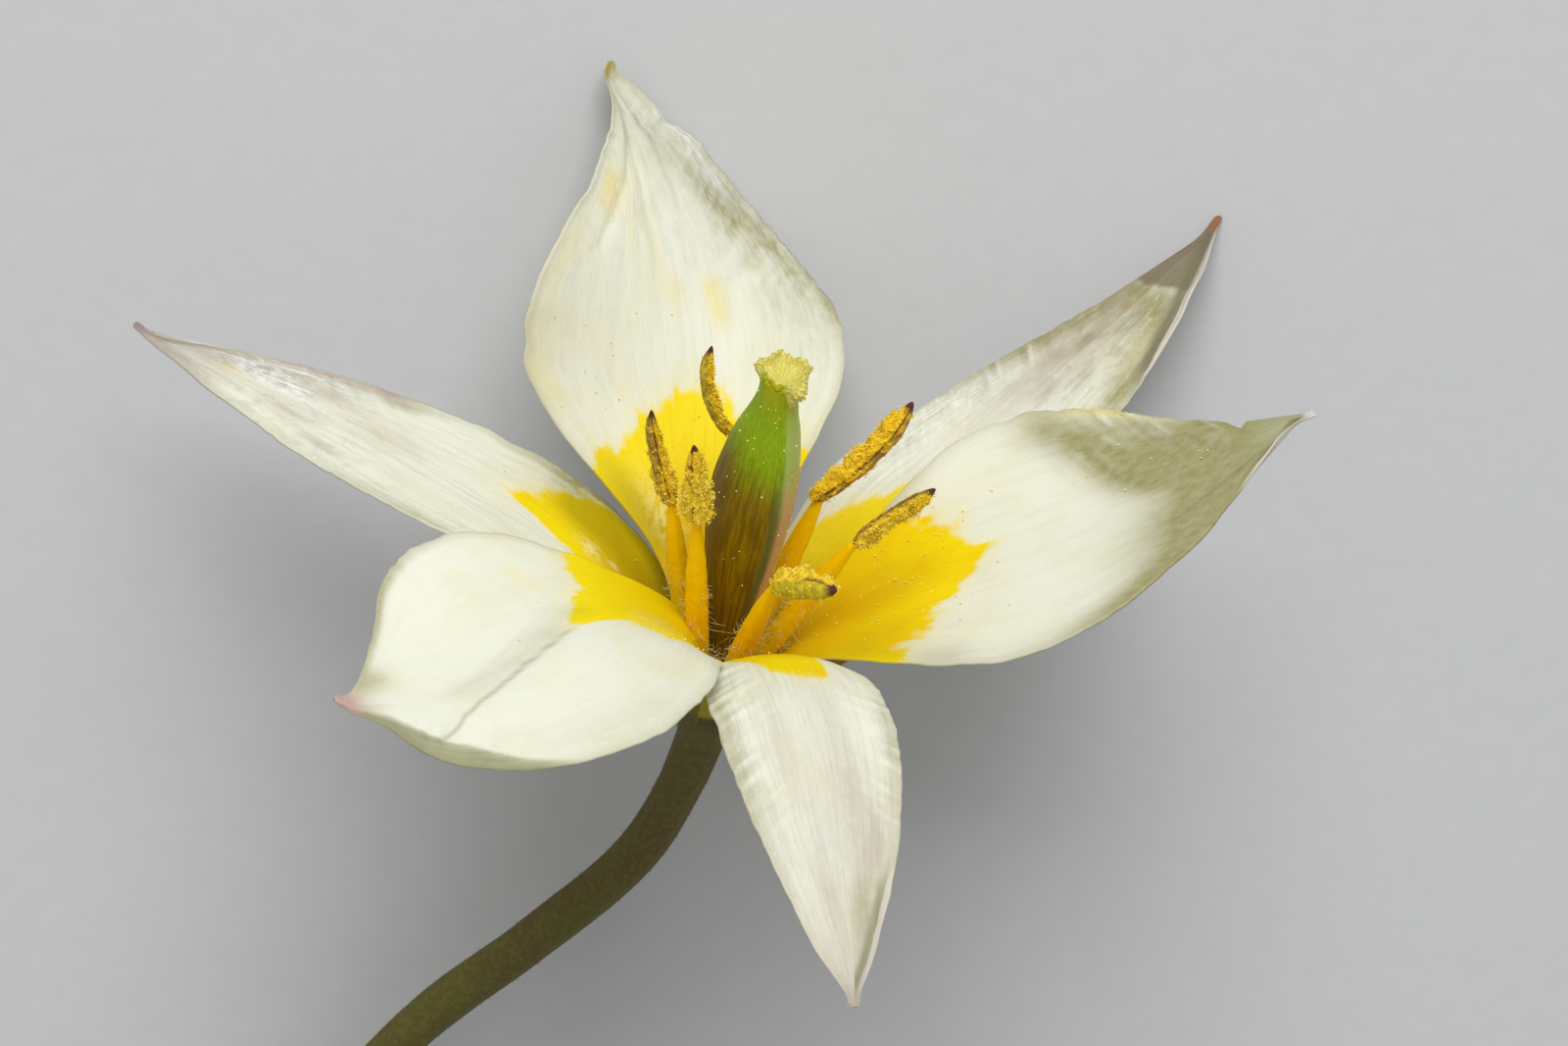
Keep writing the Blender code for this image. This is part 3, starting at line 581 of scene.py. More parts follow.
def smooth_route(points, per_span):
    """A smooth curve through the points, with per_span steps between two of them."""
    points = np.asarray(points, float)
    padded = np.vstack([2 * points[0] - points[1], points, 2 * points[-1] - points[-2]])
    route = []
    for a, b, c, d in zip(padded, padded[1:], padded[2:], padded[3:]):
        for u in np.arange(per_span) / per_span:
            bend = (2 * a - 5 * b + 4 * c - d) * u**2 + (-a + 3 * b - 3 * c + d) * u**3
            route.append((2 * b + (c - a) * u + bend) / 2)
    return np.array(route + [points[-1]])


def travelled(route):
    """How far along the route each of its points lies."""
    return np.concatenate([[0], np.cumsum(np.linalg.norm(np.diff(route, axis=0), axis=1))])


def rings_along(route, radii, angles):
    """Rings square to the route. radii holds a row for each ring and a column for each angle."""
    tangents = unit(np.gradient(route, axis=0))
    side = unit(np.cross(tangents[0], FIRST_SIDE))
    rings = []
    for centre, tangent, radius in zip(route, tangents, radii):
        side = unit(side - tangent * (side @ tangent))
        other = np.cross(tangent, side)
        spokes = np.cos(angles)[:, None] * side + np.sin(angles)[:, None] * other
        rings.append(centre + radius[:, None] * spokes)
    return np.array(rings)


def tube(rings):
    """Points and faces of the closed skin over the rings. Its last two points close the ends."""
    count, sides = rings.shape[:2]
    points = np.vstack([rings.reshape(-1, 3), rings[0].mean(axis=0), rings[-1].mean(axis=0)])
    start, end = len(points) - 2, len(points) - 1
    last = (count - 1) * sides
    faces = []
    for k in range(sides):
        after = (k + 1) % sides
        for ring in range(0, last, sides):
            faces.append((ring + k, ring + after, ring + sides + after, ring + sides + k))
        faces.append((start, after, k))
        faces.append((end, last + k, last + after))
    return points, faces


def tube_values(values, sides, start, end):
    """Values for a tube's points, given for each of them or once for each ring, and for its two ends."""
    for_points = np.repeat(values, sides) if np.ndim(values) == 1 else np.ravel(values)
    return np.append(for_points, [start, end])


VECTORS = {"blade", "metric", "stains_and_shade", "crease_and_fold_shade", "turn"}


class Shell:
    """Closed shapes gathered into one mesh, with named values at each point."""

    def __init__(self, *names):
        self.points = []
        self.faces = []
        self.values = {name: [] for name in names}
        self.count = 0

    def add(self, points, faces, **values):
        """Adds a shape. A value is one number or vector for all its points, or one for each."""
        self.points.append(points)
        self.faces += [tuple(int(corner) + self.count for corner in face) for face in faces]
        self.count += len(points)
        for name, kept in self.values.items():
            value = np.asarray(values[name], float)
            shape = (len(points), 3) if name in VECTORS else (len(points),)
            kept.append(np.broadcast_to(value, shape))

    def copies(self, points, faces, **values):
        """Adds copies of a shape, given by their points. A value is one for all copies, or one for each."""
        number, count = points.shape[:2]
        joined = (np.asarray(faces)[None] + count * np.arange(number)[:, None, None]).reshape(-1, 3)
        for name, value in values.items():
            if np.ndim(value):
                values[name] = np.repeat(value, count, axis=0)
        self.add(points.reshape(-1, 3), joined, **values)


def ball():
    """A small round grain's points and triangles."""
    grain = bmesh.new()
    bmesh.ops.create_icosphere(grain, subdivisions=1, radius=1.0)
    points = np.array([vertex.co[:] for vertex in grain.verts])
    faces = [[vertex.index for vertex in face.verts] for face in grain.faces]
    grain.free()
    return points, faces


BALL_POINTS, BALL_FACES = ball()
GRAIN_STRETCH = 0.22


def add_grains(shell, places, radii, rng, **values):
    """Adds one slightly uneven grain at each place."""
    stretch = 1 + rng.uniform(-GRAIN_STRETCH, GRAIN_STRETCH, (len(places), 1, 3))
    points = places[:, None] + BALL_POINTS[None] * stretch * radii[:, None, None]
    shell.copies(points, BALL_FACES, **values)


HAIR_JOINTS = 6
HAIR_SIDES = 3
HAIR_SPLAY = 0.25
HAIR_TIP = 0.35  # its thickness there, as a share of that at its root
HAIR_RADIUS = 0.01
HAIR_SINK = 0.02


def add_hairs(shell, roots, outward, lengths, radius, curl, rng, **values):
    """Adds tapering hairs that leave their roots outwards and bend at random."""
    count = len(roots)
    step = (lengths / (HAIR_JOINTS - 1))[:, None]
    heading = unit(outward + rng.normal(0, HAIR_SPLAY, (count, 3)))
    turn = rng.normal(0, curl, (count, 3))
    path = [roots]
    for _ in range(HAIR_JOINTS - 1):
        path.append(path[-1] + heading * step)
        heading = unit(heading + turn + rng.normal(0, curl / 2, (count, 3)))
    path = np.stack(path, 1)
    tangents = unit(np.gradient(path, axis=1))
    side = unit(np.cross(tangents, rng.normal(size=(count, 1, 3))))
    other = np.cross(tangents, side)
    angles = around(HAIR_SIDES)
    girth = radius * np.linspace(1, HAIR_TIP, HAIR_JOINTS)[None, :, None, None]
    spokes = np.cos(angles)[:, None] * side[:, :, None] + np.sin(angles)[:, None] * other[:, :, None]
    points = (path[:, :, None] + girth * spokes).reshape(count, -1, 3)
    faces = [(0, 2, 1), tuple(range((HAIR_JOINTS - 1) * HAIR_SIDES, HAIR_JOINTS * HAIR_SIDES))]
    for ring in range(0, (HAIR_JOINTS - 1) * HAIR_SIDES, HAIR_SIDES):
        for k in range(HAIR_SIDES):
            after = (k + 1) % HAIR_SIDES
            faces.append((ring + k, ring + after, ring + HAIR_SIDES + after))
            faces.append((ring + k, ring + HAIR_SIDES + after, ring + HAIR_SIDES + k))
    shell.copies(points, faces, **values)


def hairs_on(shell, rings, route, rows, columns, lengths, curl, rng, **values):
    """Adds hairs that stand on the given points of the rings and lead away from the route."""
    roots = rings[rows, columns]
    outward = unit(roots - route[rows])
    add_hairs(shell, roots - outward * HAIR_SINK, outward, lengths, HAIR_RADIUS, curl, rng, **values)


# ---------------------------------------------------------------- into the frame


def rest_rotation():
    """The turn from the upright flower to the flower lying on the table."""
    spin = Matrix.Rotation(math.radians(-REST_SPIN), 3, "Z")
    tilt = Matrix.Rotation(math.radians(-REST_TILT), 3, "Y")
    heading = Matrix.Rotation(math.radians(REST_HEADING), 3, "Z")
    return np.array(heading @ tilt @ spin)


def flower_origin():
    """Where the ovary's foot stands: the CAD pistil's box, less the same solid turned about it."""
    angles = around(PISTIL_SIDES)
    points = []
    for height, radius in PISTIL_PROFILE:
        depth = STIGMA_LOBE if height > STIGMA_FROM else OVARY_RIDGE
        reach = radius * (1 + depth * np.cos(3 * angles))
        points.append(polar(reach, angles + RIDGE_AZIMUTH, height))
    laid = np.vstack(points) @ TURN.T * MM
    low, high = (np.array(corner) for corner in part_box("pistil"))
    return ((low + high) - (laid.min(axis=0) + laid.max(axis=0))) / 2


TURN = rest_rotation()
ORIGIN = flower_origin()


def into_frame(points):
    """Points of the flower's own frame, in the frame of the CAD model."""
    return np.asarray(points) @ TURN.T * MM + ORIGIN


def make_piece(name, shell, surface, node=None):
    """One object of the flower, which rides on the flower's body and stands for a CAD node."""
    mesh = bpy.data.meshes.new(name)
    mesh.from_pydata(into_frame(np.vstack(shell.points)).tolist(), [], shell.faces)
    facing = bmesh.new()
    facing.from_mesh(mesh)
    bmesh.ops.recalc_face_normals(facing, faces=facing.faces)
    facing.to_mesh(mesh)
    facing.free()
    mesh.shade_smooth()
    for label, kept in shell.values.items():
        value = np.concatenate(kept).astype(np.float32)
        if label in VECTORS:
            mesh.attributes.new(label, "FLOAT_VECTOR", "POINT").data.foreach_set("vector", value.ravel())
        else:
            mesh.attributes.new(label, "FLOAT", "POINT").data.foreach_set("value", value)
    mesh.materials.append(surface)
    piece = bpy.data.objects.new(name, mesh)
    bpy.context.scene.collection.objects.link(piece)
    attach(piece, "root")
    if node:
        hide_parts(node)
    return piece


# ---------------------------------------------------------------- tepals


def midrib(tepal, t, steps=MIDRIB_STEPS):
    """The midrib's points at t, with its sideways and upward directions there."""
    fine = np.linspace(0, 1, steps + 1)
    rise = np.radians(evenly(tepal["rise"], fine))
    yaw = np.radians(tepal["heading"] + evenly(tepal["sway"], fine))
    roll = np.radians(evenly(tepal["roll"], fine))[:, None]
    along = np.stack([np.cos(rise) * np.cos(yaw), np.cos(rise) * np.sin(yaw), np.sin(rise)], -1)
    level = np.stack([-np.sin(yaw), np.cos(yaw), 0 * yaw], -1)
    upward = np.cross(along, level)
    sideways = level * np.cos(roll) + upward * np.sin(roll)
    upward = upward * np.cos(roll) - level * np.sin(roll)
    heading = math.radians(tepal["heading"])
    radius = tepal["foot_radius"]
    foot = np.array([radius * math.cos(heading), radius * math.sin(heading), tepal["foot_height"]])
    moves = (along[1:] + along[:-1]) / 2 * tepal["length"] / steps
    points = foot + np.vstack([np.zeros(3), np.cumsum(moves, axis=0)])
    curves = (points, sideways, upward)
    return [np.stack([np.interp(t, fine, curve[:, k]) for k in range(3)], -1) for curve in curves]


def half_width(tepal, t, half):
    """The width of one half: a claw at the foot, a blade, and a point."""
    widest, taper = tepal["widest_at"], tepal["tapers"][half]
    blade = (t / widest) ** (taper * widest / (1 - widest)) * ((1 - t) / (1 - widest)) ** taper
    claw = tepal["foot_half_width"] * (1 - t) ** 3 * (1 - np.clip(blade, 0, 1))
    return tepal["half_widths"][half] * blade + claw


def uneven_width(tepal, detail, t, half, seed):
    """The half's width with its margin's small waves, notches and bulges, rounded off at the tip."""
    width = half_width(tepal, t, half)
    waves = 0.012 * noise(t * 22, half * 7.0, seed) + 0.008 * noise(t * 60, half * 7.0, seed + 1)
    width = width * (1 + waves * smooth(t, 0.15, 0.35))
    for side, reach, before, after, depth in detail["margins"]:
        if side == half:
            spread = np.where(t < reach, before, after)
            width = width - depth * np.exp(-(((t - reach) / spread) ** 2)) * np.clip(width, 0, 1)
    blunt = detail["blunt"]
    from_tip = np.clip((1 - t) * tepal["length"] / blunt, 0, 1)
    return np.cbrt(width**3 + (blunt * np.sqrt(1 - (1 - from_tip) ** 2)) ** 3)


def fold_line(line, t):
    """How far across, from 0 to 1, the fold lies at each reach."""
    return np.interp(t, *zip(*line))[:, None]


def half_section(tepal, detail, t, u, half, width):
    """How far across and above the midrib each point of one half lies, its curl and folds followed."""
    angle = np.radians(evenly(tepal[("curl_left", "curl_right")[half]], t))[:, None] * u
    for side, line, turn, _ in detail["folds"]:
        if side == half:
            place = fold_line(line, t)
            present = smooth(t, line[0][0] - 0.03, line[0][0] + 0.08)[:, None]
            angle = angle + math.radians(turn) * present * smooth(u, place, place + FOLD_SOFTNESS)
    step = width[:, None] * (u[1] - u[0])

    def summed(slope):
        middle = (slope[:, 1:] + slope[:, :-1]) / 2
        return np.hstack([np.zeros((len(t), 1)), np.cumsum(middle, axis=1)]) * step

    return summed(np.cos(angle)), summed(np.sin(angle))


def crease_lines(detail, t, s, widths):
    """The creases' relief in mm, and how strongly each point gets the painted shade along them."""
    relief = np.zeros(widths.shape)
    tint = np.zeros(widths.shape)
    for number, (line, depth, reach, strength) in enumerate(detail["creases"]):
        start, end = line[0][0], line[-1][0]
        wander = CREASE_WANDER * noise(t * 16, 0.0, 40 + number)[:, None]
        distance = np.abs((s - fold_line(line, t)) * widths + wander)
        present = smooth(t, start - 0.04, start + (end - start) / 4) * smooth(-t, -end - 0.04, -end + 0.02)
        relief -= depth * present[:, None] * np.clip(1 - distance / reach, 0, 1) ** 1.5
        tint += strength * present[:, None] * np.exp(-((distance / CREASE_SHADE_WIDTH) ** 2))
    return relief, tint


def fold_bands(detail, t, s, widths):
    """How strongly each point gets a fold's painted shade: in its band, and in the strip of margin beyond
    it.
    """
    valley = np.zeros(widths.shape)
    strip = np.zeros(widths.shape)
    for half, line, _, band in detail["folds"]:
        present = smooth(t, line[0][0] - 0.01, line[0][0] + 0.06)[:, None]
        present = present * ((s >= 0) if half == LEFT else (s < 0))
        beyond = (np.abs(s) - fold_line(line, t)) * widths
        if band < 0:
            valley += present * smooth(beyond, -0.1, 0.12)
        else:
            valley += present * smooth(beyond, 0.02, -0.05) * smooth(beyond, -band, -band / 3)
            strip += present * smooth(beyond, -0.02, 0.06)
    return valley, strip


def wrinkled(detail, t, s, across, along, seed):
    """Short ribs that run obliquely in from a margin, in mm, with painted shade between them and painted
    light on them.
    """
    relief = np.zeros(across.shape)
    rib_shading = np.zeros(across.shape)
    for half, start, end, height, spacing, lean in detail["wrinkles"]:
        outer = smooth(s if half == LEFT else -s, 0.2, 0.8)
        present = smooth(t, start, start + 0.1) * smooth(-t, -end, -end + 0.1)
        onward = (along - lean * np.abs(across)) / spacing
        inward = (np.abs(across) + 0.6 * along) / 1.9
        ribs = noise(onward * 1.5, inward, seed + 6) + 0.5 * noise(onward * 3.1, inward * 2, seed + 7)
        relief += height * ribs * outer * present[:, None]
        # Painted shade in the hollows, painted light on the crests.
        rib_light_and_shade = 2.4 * smooth(-ribs, 0.1, 0.9) - 4.2 * smooth(ribs, 0.2, 0.8)
        rib_shading += height * rib_light_and_shade * outer * present[:, None]
    return relief, rib_shading


def blade_relief(detail, t, s, across, along, widths, seed):
    """How far the fine surface stands off the smooth one, in mm, towards the inner face."""
    reach = t[:, None]
    broad = detail["wave"] * noise(across / 3.1, along / 4.3, seed + 2)
    veins = noise(s * 17, reach * 5, seed + 3) + 0.5 * noise(s * 36, reach * 9, seed + 4)
    pleats = noise(s * 7, reach * 2.5, seed + 8) * smooth(reach, 0.6, 0.95)
    groove = -GROOVE_DEPTH * np.exp(-((across / GROOVE_WIDTH) ** 2)) * smooth(reach, 0.2, 0.6)
    hem = noise(along / 1.3, s * 1.5, seed + 5) * np.abs(s) ** 6
    relief = broad + detail["veins"] * (0.014 * veins + groove) + detail["pleats"] * pleats + 0.07 * hem
    return relief * smooth(reach, 0.04, 0.3) * np.clip(widths / NARROW, 0, 1)


def spots(rows, t, s, widths, length):
    """Soft spots of the blade, added up, each longer along it or wider across it as its row says."""
    total = np.zeros(widths.shape)
    for reach, place, tall, wide, strength in rows:
        away = ((t[:, None] - reach) * length / tall) ** 2 + ((s - place) * widths / wide) ** 2
        total += strength * np.exp(-away)
    return total


def blade_rows():
    """The reach of each row of points, closer together at the tip."""
    return np.append(np.linspace(0, TIP_FROM, ROWS + 1), np.linspace(TIP_FROM, TIP_TO, TIP_ROWS + 1)[1:])


def smooth_blade(tepal, detail, t, s, seed):
    """The middle surface without its relief, how far across each point lies and its half's width."""
    u = np.linspace(0, 1, COLUMNS // 2 + 1)
    width, aside, above = [], [], []
    for half in (LEFT, RIGHT):
        width.append(uneven_width(tepal, detail, t, half, seed + 10 * half))
        section = half_section(tepal, detail, t, u, half, width[half])
        aside.append(section[0])
        above.append(section[1])
    across = np.hstack([-aside[RIGHT][:, :0:-1], aside[LEFT]])
    lift = np.hstack([above[RIGHT][:, :0:-1], above[LEFT]])
    widths = np.where(s < 0, width[RIGHT][:, None], width[LEFT][:, None])
    centre, sideways, upward = midrib(tepal, t)
    surface = centre[:, None] + across[..., None] * sideways[:, None] + lift[..., None] * upward[:, None]
    hook_aside, hook_up, start = detail["hook"]
    hooked = smooth(t, start, 1.0)[:, None, None] ** 2
    surface += hooked * (hook_aside * sideways + hook_up * upward)[:, None]
    for reach, spread, nothing, full, move in detail["pushes"]:
        share = np.exp(-(((t - reach) / spread) ** 2))[:, None] * smooth(s, nothing, full)
        surface += share[..., None] * move
    return surface, across, widths


def tepal_surface(name):
    """The fine middle surface of a tepal as a grid of points, and its maps."""
    tepal, detail = TEPALS[name], DETAIL[name]
    seed = 100 * list(TEPALS).index(name)
    t = blade_rows()
    s = np.linspace(-1, 1, COLUMNS + 1)
    surface, across, widths = smooth_blade(tepal, detail, t, s, seed)
    normals = unit(np.cross(np.gradient(surface, axis=0), np.gradient(surface, axis=1)))
    along = np.broadcast_to((t * tepal["length"])[:, None], across.shape)
    relief, line = crease_lines(detail, t, s, widths)
    relief += blade_relief(detail, t, s, across, along, widths, seed)
    ribs, rib_shading = wrinkled(detail, t, s, across, along, seed)
    surface += normals * (relief + ribs * np.clip(widths / NARROW, 0, 1))[..., None]
    blade = t, s, widths, tepal["length"]
    # The shade rows are painted shade; the ribs add painted shade in their hollows and painted light on
    # their crests.
    shade = np.minimum(spots(detail["shade"], *blade), 1) + rib_shading
    stains_and_shade = np.stack([shade, spots(detail["blush"], *blade), spots(detail["tan"], *blade)], -1)
    limit = np.interp(s, *zip(*detail["blotch"]))
    maps = {
        "blade": np.stack(np.broadcast_arrays(s, t[:, None], 0.0), -1),
        "metric": np.stack([across, along, (1 - np.abs(s)) * widths], -1),
        "stains_and_shade": np.clip(stains_and_shade, 0, 1),
        "glint": np.clip(spots(detail["glints"], *blade), 0, 1),
        "crease_and_fold_shade": np.clip(np.stack([line, *fold_bands(detail, t, s, widths)], -1), 0, 1),
        "blotch": (limit - t[:, None]) * tepal["length"],
    }
    return surface, normals, maps


def rooted(grid, tepal, inward):
    """The grid with rows added before its foot, drawn in towards the receptacle."""
    heading = math.radians(tepal["heading"])
    centre = grid[0].mean(axis=0)
    rows = []
    for share in ROOT_SHARES:
        pull = -inward * share * np.array([math.cos(heading), math.sin(heading), 0.25])
        rows.append(centre + (grid[0] - centre) * (1 - 0.3 * share) + pull)
    return np.concatenate([rows, grid])


def repeated_foot(grid):
    """The grid with its first row repeated for the rows that rooted() adds."""
    return np.concatenate([grid[:1]] * len(ROOT_SHARES) + [grid])


def blade_faces(rows, width):
    """The faces of a closed blade whose inner points come first, then those of its back."""
    count = rows * width
    a = (np.arange(rows - 1)[:, None] * width + np.arange(width - 1)).ravel()
    quads = np.stack([a, a + width, a + width + 1, a + 1], -1)
    down = np.arange(rows - 1) * width
    right = np.stack([down, count + down, count + down + width, down + width], -1)
    left = np.stack([down, down + width, count + down + width, count + down], -1) + width - 1
    foot = np.arange(width - 1)
    close_foot = np.stack([foot, foot + 1, count + foot + 1, count + foot], -1)
    tip = close_foot[:, ::-1] + (rows - 1) * width
    return np.vstack([quads, count + quads[:, ::-1], right, left, close_foot, tip]).tolist()


def tepal_shell(name, drawn):
    """A tepal's closed blade, thick at the midrib and thin at the margins and the tip."""
    surface, normals, maps = drawn
    surface, normals = rooted(surface, TEPALS[name], ROOT_DEPTH), repeated_foot(normals)
    maps = {label: repeated_foot(value) for label, value in maps.items()}
    s, reach = maps["blade"][..., 0], maps["blade"][..., 1]
    thickness = RIM_THICKNESS + (BLADE_THICKNESS - RIM_THICKNESS) * (1 - np.abs(s) ** THINNING)
    offset = normals * (thickness * np.clip((1 - reach) * 9, 0.35, 1) / 2)[..., None]
    points = np.vstack([(surface + offset).reshape(-1, 3), (surface - offset).reshape(-1, 3)])
    half = len(points) // 2
    values = {}
    for label, value in maps.items():
        values[label] = np.concatenate([value.reshape(half, *value.shape[2:])] * 2)
    values["blade"][:half, 2] = 1
    shell = Shell("blade", "metric", "stains_and_shade", "crease_and_fold_shade", "blotch", "glint")
    shell.add(points, blade_faces(*surface.shape[:2]), **values)
    return shell


# ---------------------------------------------------------------- stamens

FILAMENT_SEED, ANTHER_SEED = 300, 400
FILAMENT_ROWS, FILAMENT_SIDES, FILAMENT_HAIRS = 60, 28, 140
HAIRY_ROWS = (3, 42)  # the filament's rings that bear hairs
FILAMENT_HAIR_CURL = 0.3
FOOT_SINK = 0.3  # how deep the filament's foot stands in the receptacle
TIP_STEPS = (0.12, 0.6, 5)  # the filament's end in the anther: from, to, rings
ANTHER_ROWS, ANTHER_SIDES = 150, 64
ANTHER_GAP = 0.12  # from the filament's joint to the anther's foot
POLLEN_ROWS = (2, 144)  # the anther's rings that bear grains
POLLEN_TRIES = 6000
POLLEN_RADII = (0.012, 0.046)
SAC_SHARE = 0.84  # the wall's radius, as a share of the anther's with its pollen
SEAM_WIDTH, BARE_SOFTNESS = 0.2, 0.45


def filament_route(stamen, count):
    """The filament's middle line, from inside the receptacle into the anther's foot."""
    azimuth = math.radians(stamen["azimuth"])
    out = np.array([math.cos(azimuth), math.sin(azimuth), 0.0])
    foot = FILAMENT_FOOT_RADIUS * out + (0, 0, FILAMENT_FOOT_HEIGHT - FOOT_SINK)
    joint = np.array(stamen["joint"])
    knee = FILAMENT_BOW * out + (0, 0, joint[2] / 3)
    t = np.linspace(0, 1, count)[:, None]
    route = (1 - t) ** 2 * foot + 2 * t * (1 - t) * knee + t**2 * joint
    onward = unit(np.array(stamen["end"]) - joint)
    return np.vstack([route, joint + onward * np.linspace(*TIP_STEPS)[:, None]])


def filament_shell(number):
    """A bowed, tapering thread with low ribs and short hairs on its lower part."""
    rng = np.random.default_rng(FILAMENT_SEED + number)
    route = filament_route(STAMENS[number], FILAMENT_ROWS)
    along = travelled(route)
    share = along / along[-1]
    angles = around(FILAMENT_SIDES)
    radii = evenly(FILAMENT_RADII, np.clip(share * 1.06, 0, 1))
    radii = radii * (1 - 0.55 * smooth(share, 0.93, 1))
    ribs = 1 + 0.05 * np.cos(5 * angles + number) + 0.03 * np.cos(11 * angles)
    rough = 1 + 0.04 * noise(share[:, None] * 30, angles * 2, FILAMENT_SEED + 10 + number)
    rings = rings_along(route, radii[:, None] * ribs * rough, angles)
    shell = Shell("reach", "hair")
    shell.add(*tube(rings), reach=tube_values(share, FILAMENT_SIDES, 0, 1), hair=0)
    count = FILAMENT_HAIRS
    rows, columns = rng.integers(*HAIRY_ROWS, count), rng.integers(0, FILAMENT_SIDES, count)
    lengths = rng.gamma(3.0, 0.16, count) * (1.2 - share[rows])
    hairs_on(shell, rings, route, rows, columns, lengths, FILAMENT_HAIR_CURL, rng, reach=0, hair=1)
    return shell


def anther_route(number, t):
    """The anther's middle line, bent and hooked."""
    stamen, look = STAMENS[number], ANTHERS[number]
    joint, end = np.array(stamen["joint"]), np.array(stamen["end"])
    start = joint + unit(end - joint) * ANTHER_GAP
    bow = (4 * t * (1 - t))[:, None] * look["bend"] + ((1 - t) ** 2)[:, None] * look["foot"]
    return start + t[:, None] * (end - start) + bow + smooth(t, 0.82, 1.0)[:, None] * look["hook"]


def anther_shell(number):
    """Two pollen sacs side by side, split open along a seam and crusted with clumps of pollen."""
    rng = np.random.default_rng(ANTHER_SEED + number)
    look = ANTHERS[number]
    t = np.linspace(0, 1, ANTHER_ROWS)
    route = anther_route(number, t)
    angles = around(ANTHER_SIDES)

    def rough(lengthwise, round_about, seed):
        """Noise over the anther's wall, with so many lumps along it and per radian round it."""
        return noise(t[:, None] * lengthwise, angles * round_about, ANTHER_SEED + seed + number)

    swell = np.sqrt(np.clip(1 - (2 * t - 1) ** 6, 0.02, 1)) * (1 - 0.4 * smooth(t, 0.78, 1.0))
    swell = swell * (1 - look["taper"] * (t - 0.3))
    width = STAMENS[number]["width"] / 2 * look["slender"]
    plain = rings_along(route, np.full((ANTHER_ROWS, ANTHER_SIDES), width), angles)
    outward = unit(plain - route[:, None])
    bare = smooth(outward @ unit(look["bare"]), look["open"], look["open"] + BARE_SOFTNESS)
    beside = unit(np.cross(route[-1] - route[0], look["seam"]))
    seam = np.exp(-((outward @ beside / SEAM_WIDTH) ** 2))
    clumps, crumbs = rough(13, 1.9, 30), rough(31, 4.1, 40) + 0.6 * rough(60, 8, 45)
    cover = evenly(look["pollen"], t)[:, None] * (1 - 0.85 * bare) * (1 - 0.7 * seam)
    cover = np.clip(cover * (0.75 + 0.55 * clumps + 0.3 * crumbs), 0, 1)
    cover = cover * (1 - smooth(t, 0.9, 0.98))[:, None]
    lobes = 1.05 - 0.28 * seam
    crust = cover * (0.18 + 0.3 * clumps + 0.22 * crumbs)
    wall = 0.05 * rough(40, 5, 50)
    rings = rings_along(route, width * SAC_SHARE * swell[:, None] * (lobes + crust + wall), angles)
    pale = evenly(look["pale"], t)
    shell = Shell("reach", "grain", "seam", "cover", "pale", "olive")
    shell.add(*tube(rings), reach=tube_values(t, ANTHER_SIDES, 0, 1), grain=0,
              seam=tube_values(seam, ANTHER_SIDES, 0, 1), cover=tube_values(cover, ANTHER_SIDES, 0, 0),
              pale=tube_values(pale, ANTHER_SIDES, pale[0], pale[-1]), olive=look["olive"])

    rows, columns = rng.integers(*POLLEN_ROWS, POLLEN_TRIES), rng.integers(0, ANTHER_SIDES, POLLEN_TRIES)
    kept = rng.uniform(0, 1, POLLEN_TRIES) < cover[rows, columns] ** 1.5 * 0.55
    rows, columns = rows[kept], columns[kept]
    count = len(rows)
    heap = np.abs(rng.normal(0, 0.05, count)) * (0.3 + cover[rows, columns])
    places = rings[rows, columns] + outward[rows, columns] * heap[:, None]
    places = places + rng.normal(0, 0.025, (count, 3))
    tone = rng.uniform(0, 1, count)
    add_grains(shell, places, rng.uniform(*POLLEN_RADII, count), rng, reach=t[rows], grain=1 + tone,
               seam=0, cover=1, pale=pale[rows], olive=0)
    return shell


# ---------------------------------------------------------------- pistil

PISTIL_SEED = 500
PISTIL_STEPS, PISTIL_COLUMNS = 12, 144
OVARY_START = ((-0.3, 0.6),)  # height, mean radius, and so the two below
STIGMA_OUTSIDE = ((14.7, 0.78), (15.2, 0.76), (15.55, 0.66))
STIGMA_HOLLOW = ((15.64, 0.58), (15.5, 0.47), (15.2, 0.34), (14.9, 0.2), (14.75, 0.08))
LOBE_SPREAD, LOBE_DROP = 32, 0.75  # of the hanging lobe, in degrees and mm
NECK = (12.5, 14.6)  # the ovary's ridges fade between these heights
WING = (14.75, 15.25)  # the stigma's crests spread between these
RIDGE_WIDTH = 0.16
PAPILLA_TRIES, PAPILLAE, PAPILLA_RADII = 9000, 2000, (0.018, 0.036)
STRAY_ROWS, STRAYS, STRAY_RADII = (40, 130), 110, (0.02, 0.042)  # pollen that fell on the ovary


def pistil_outline():
    """Heights and mean radii of the ovary, its neck and the hollow top of the stigma."""
    ovary = tuple(row for row in PISTIL_PROFILE if row[0] < STIGMA_FROM)
    profile = smooth_route(OVARY_START + ovary + STIGMA_OUTSIDE, PISTIL_STEPS)
    return np.vstack([profile, STIGMA_HOLLOW]).T


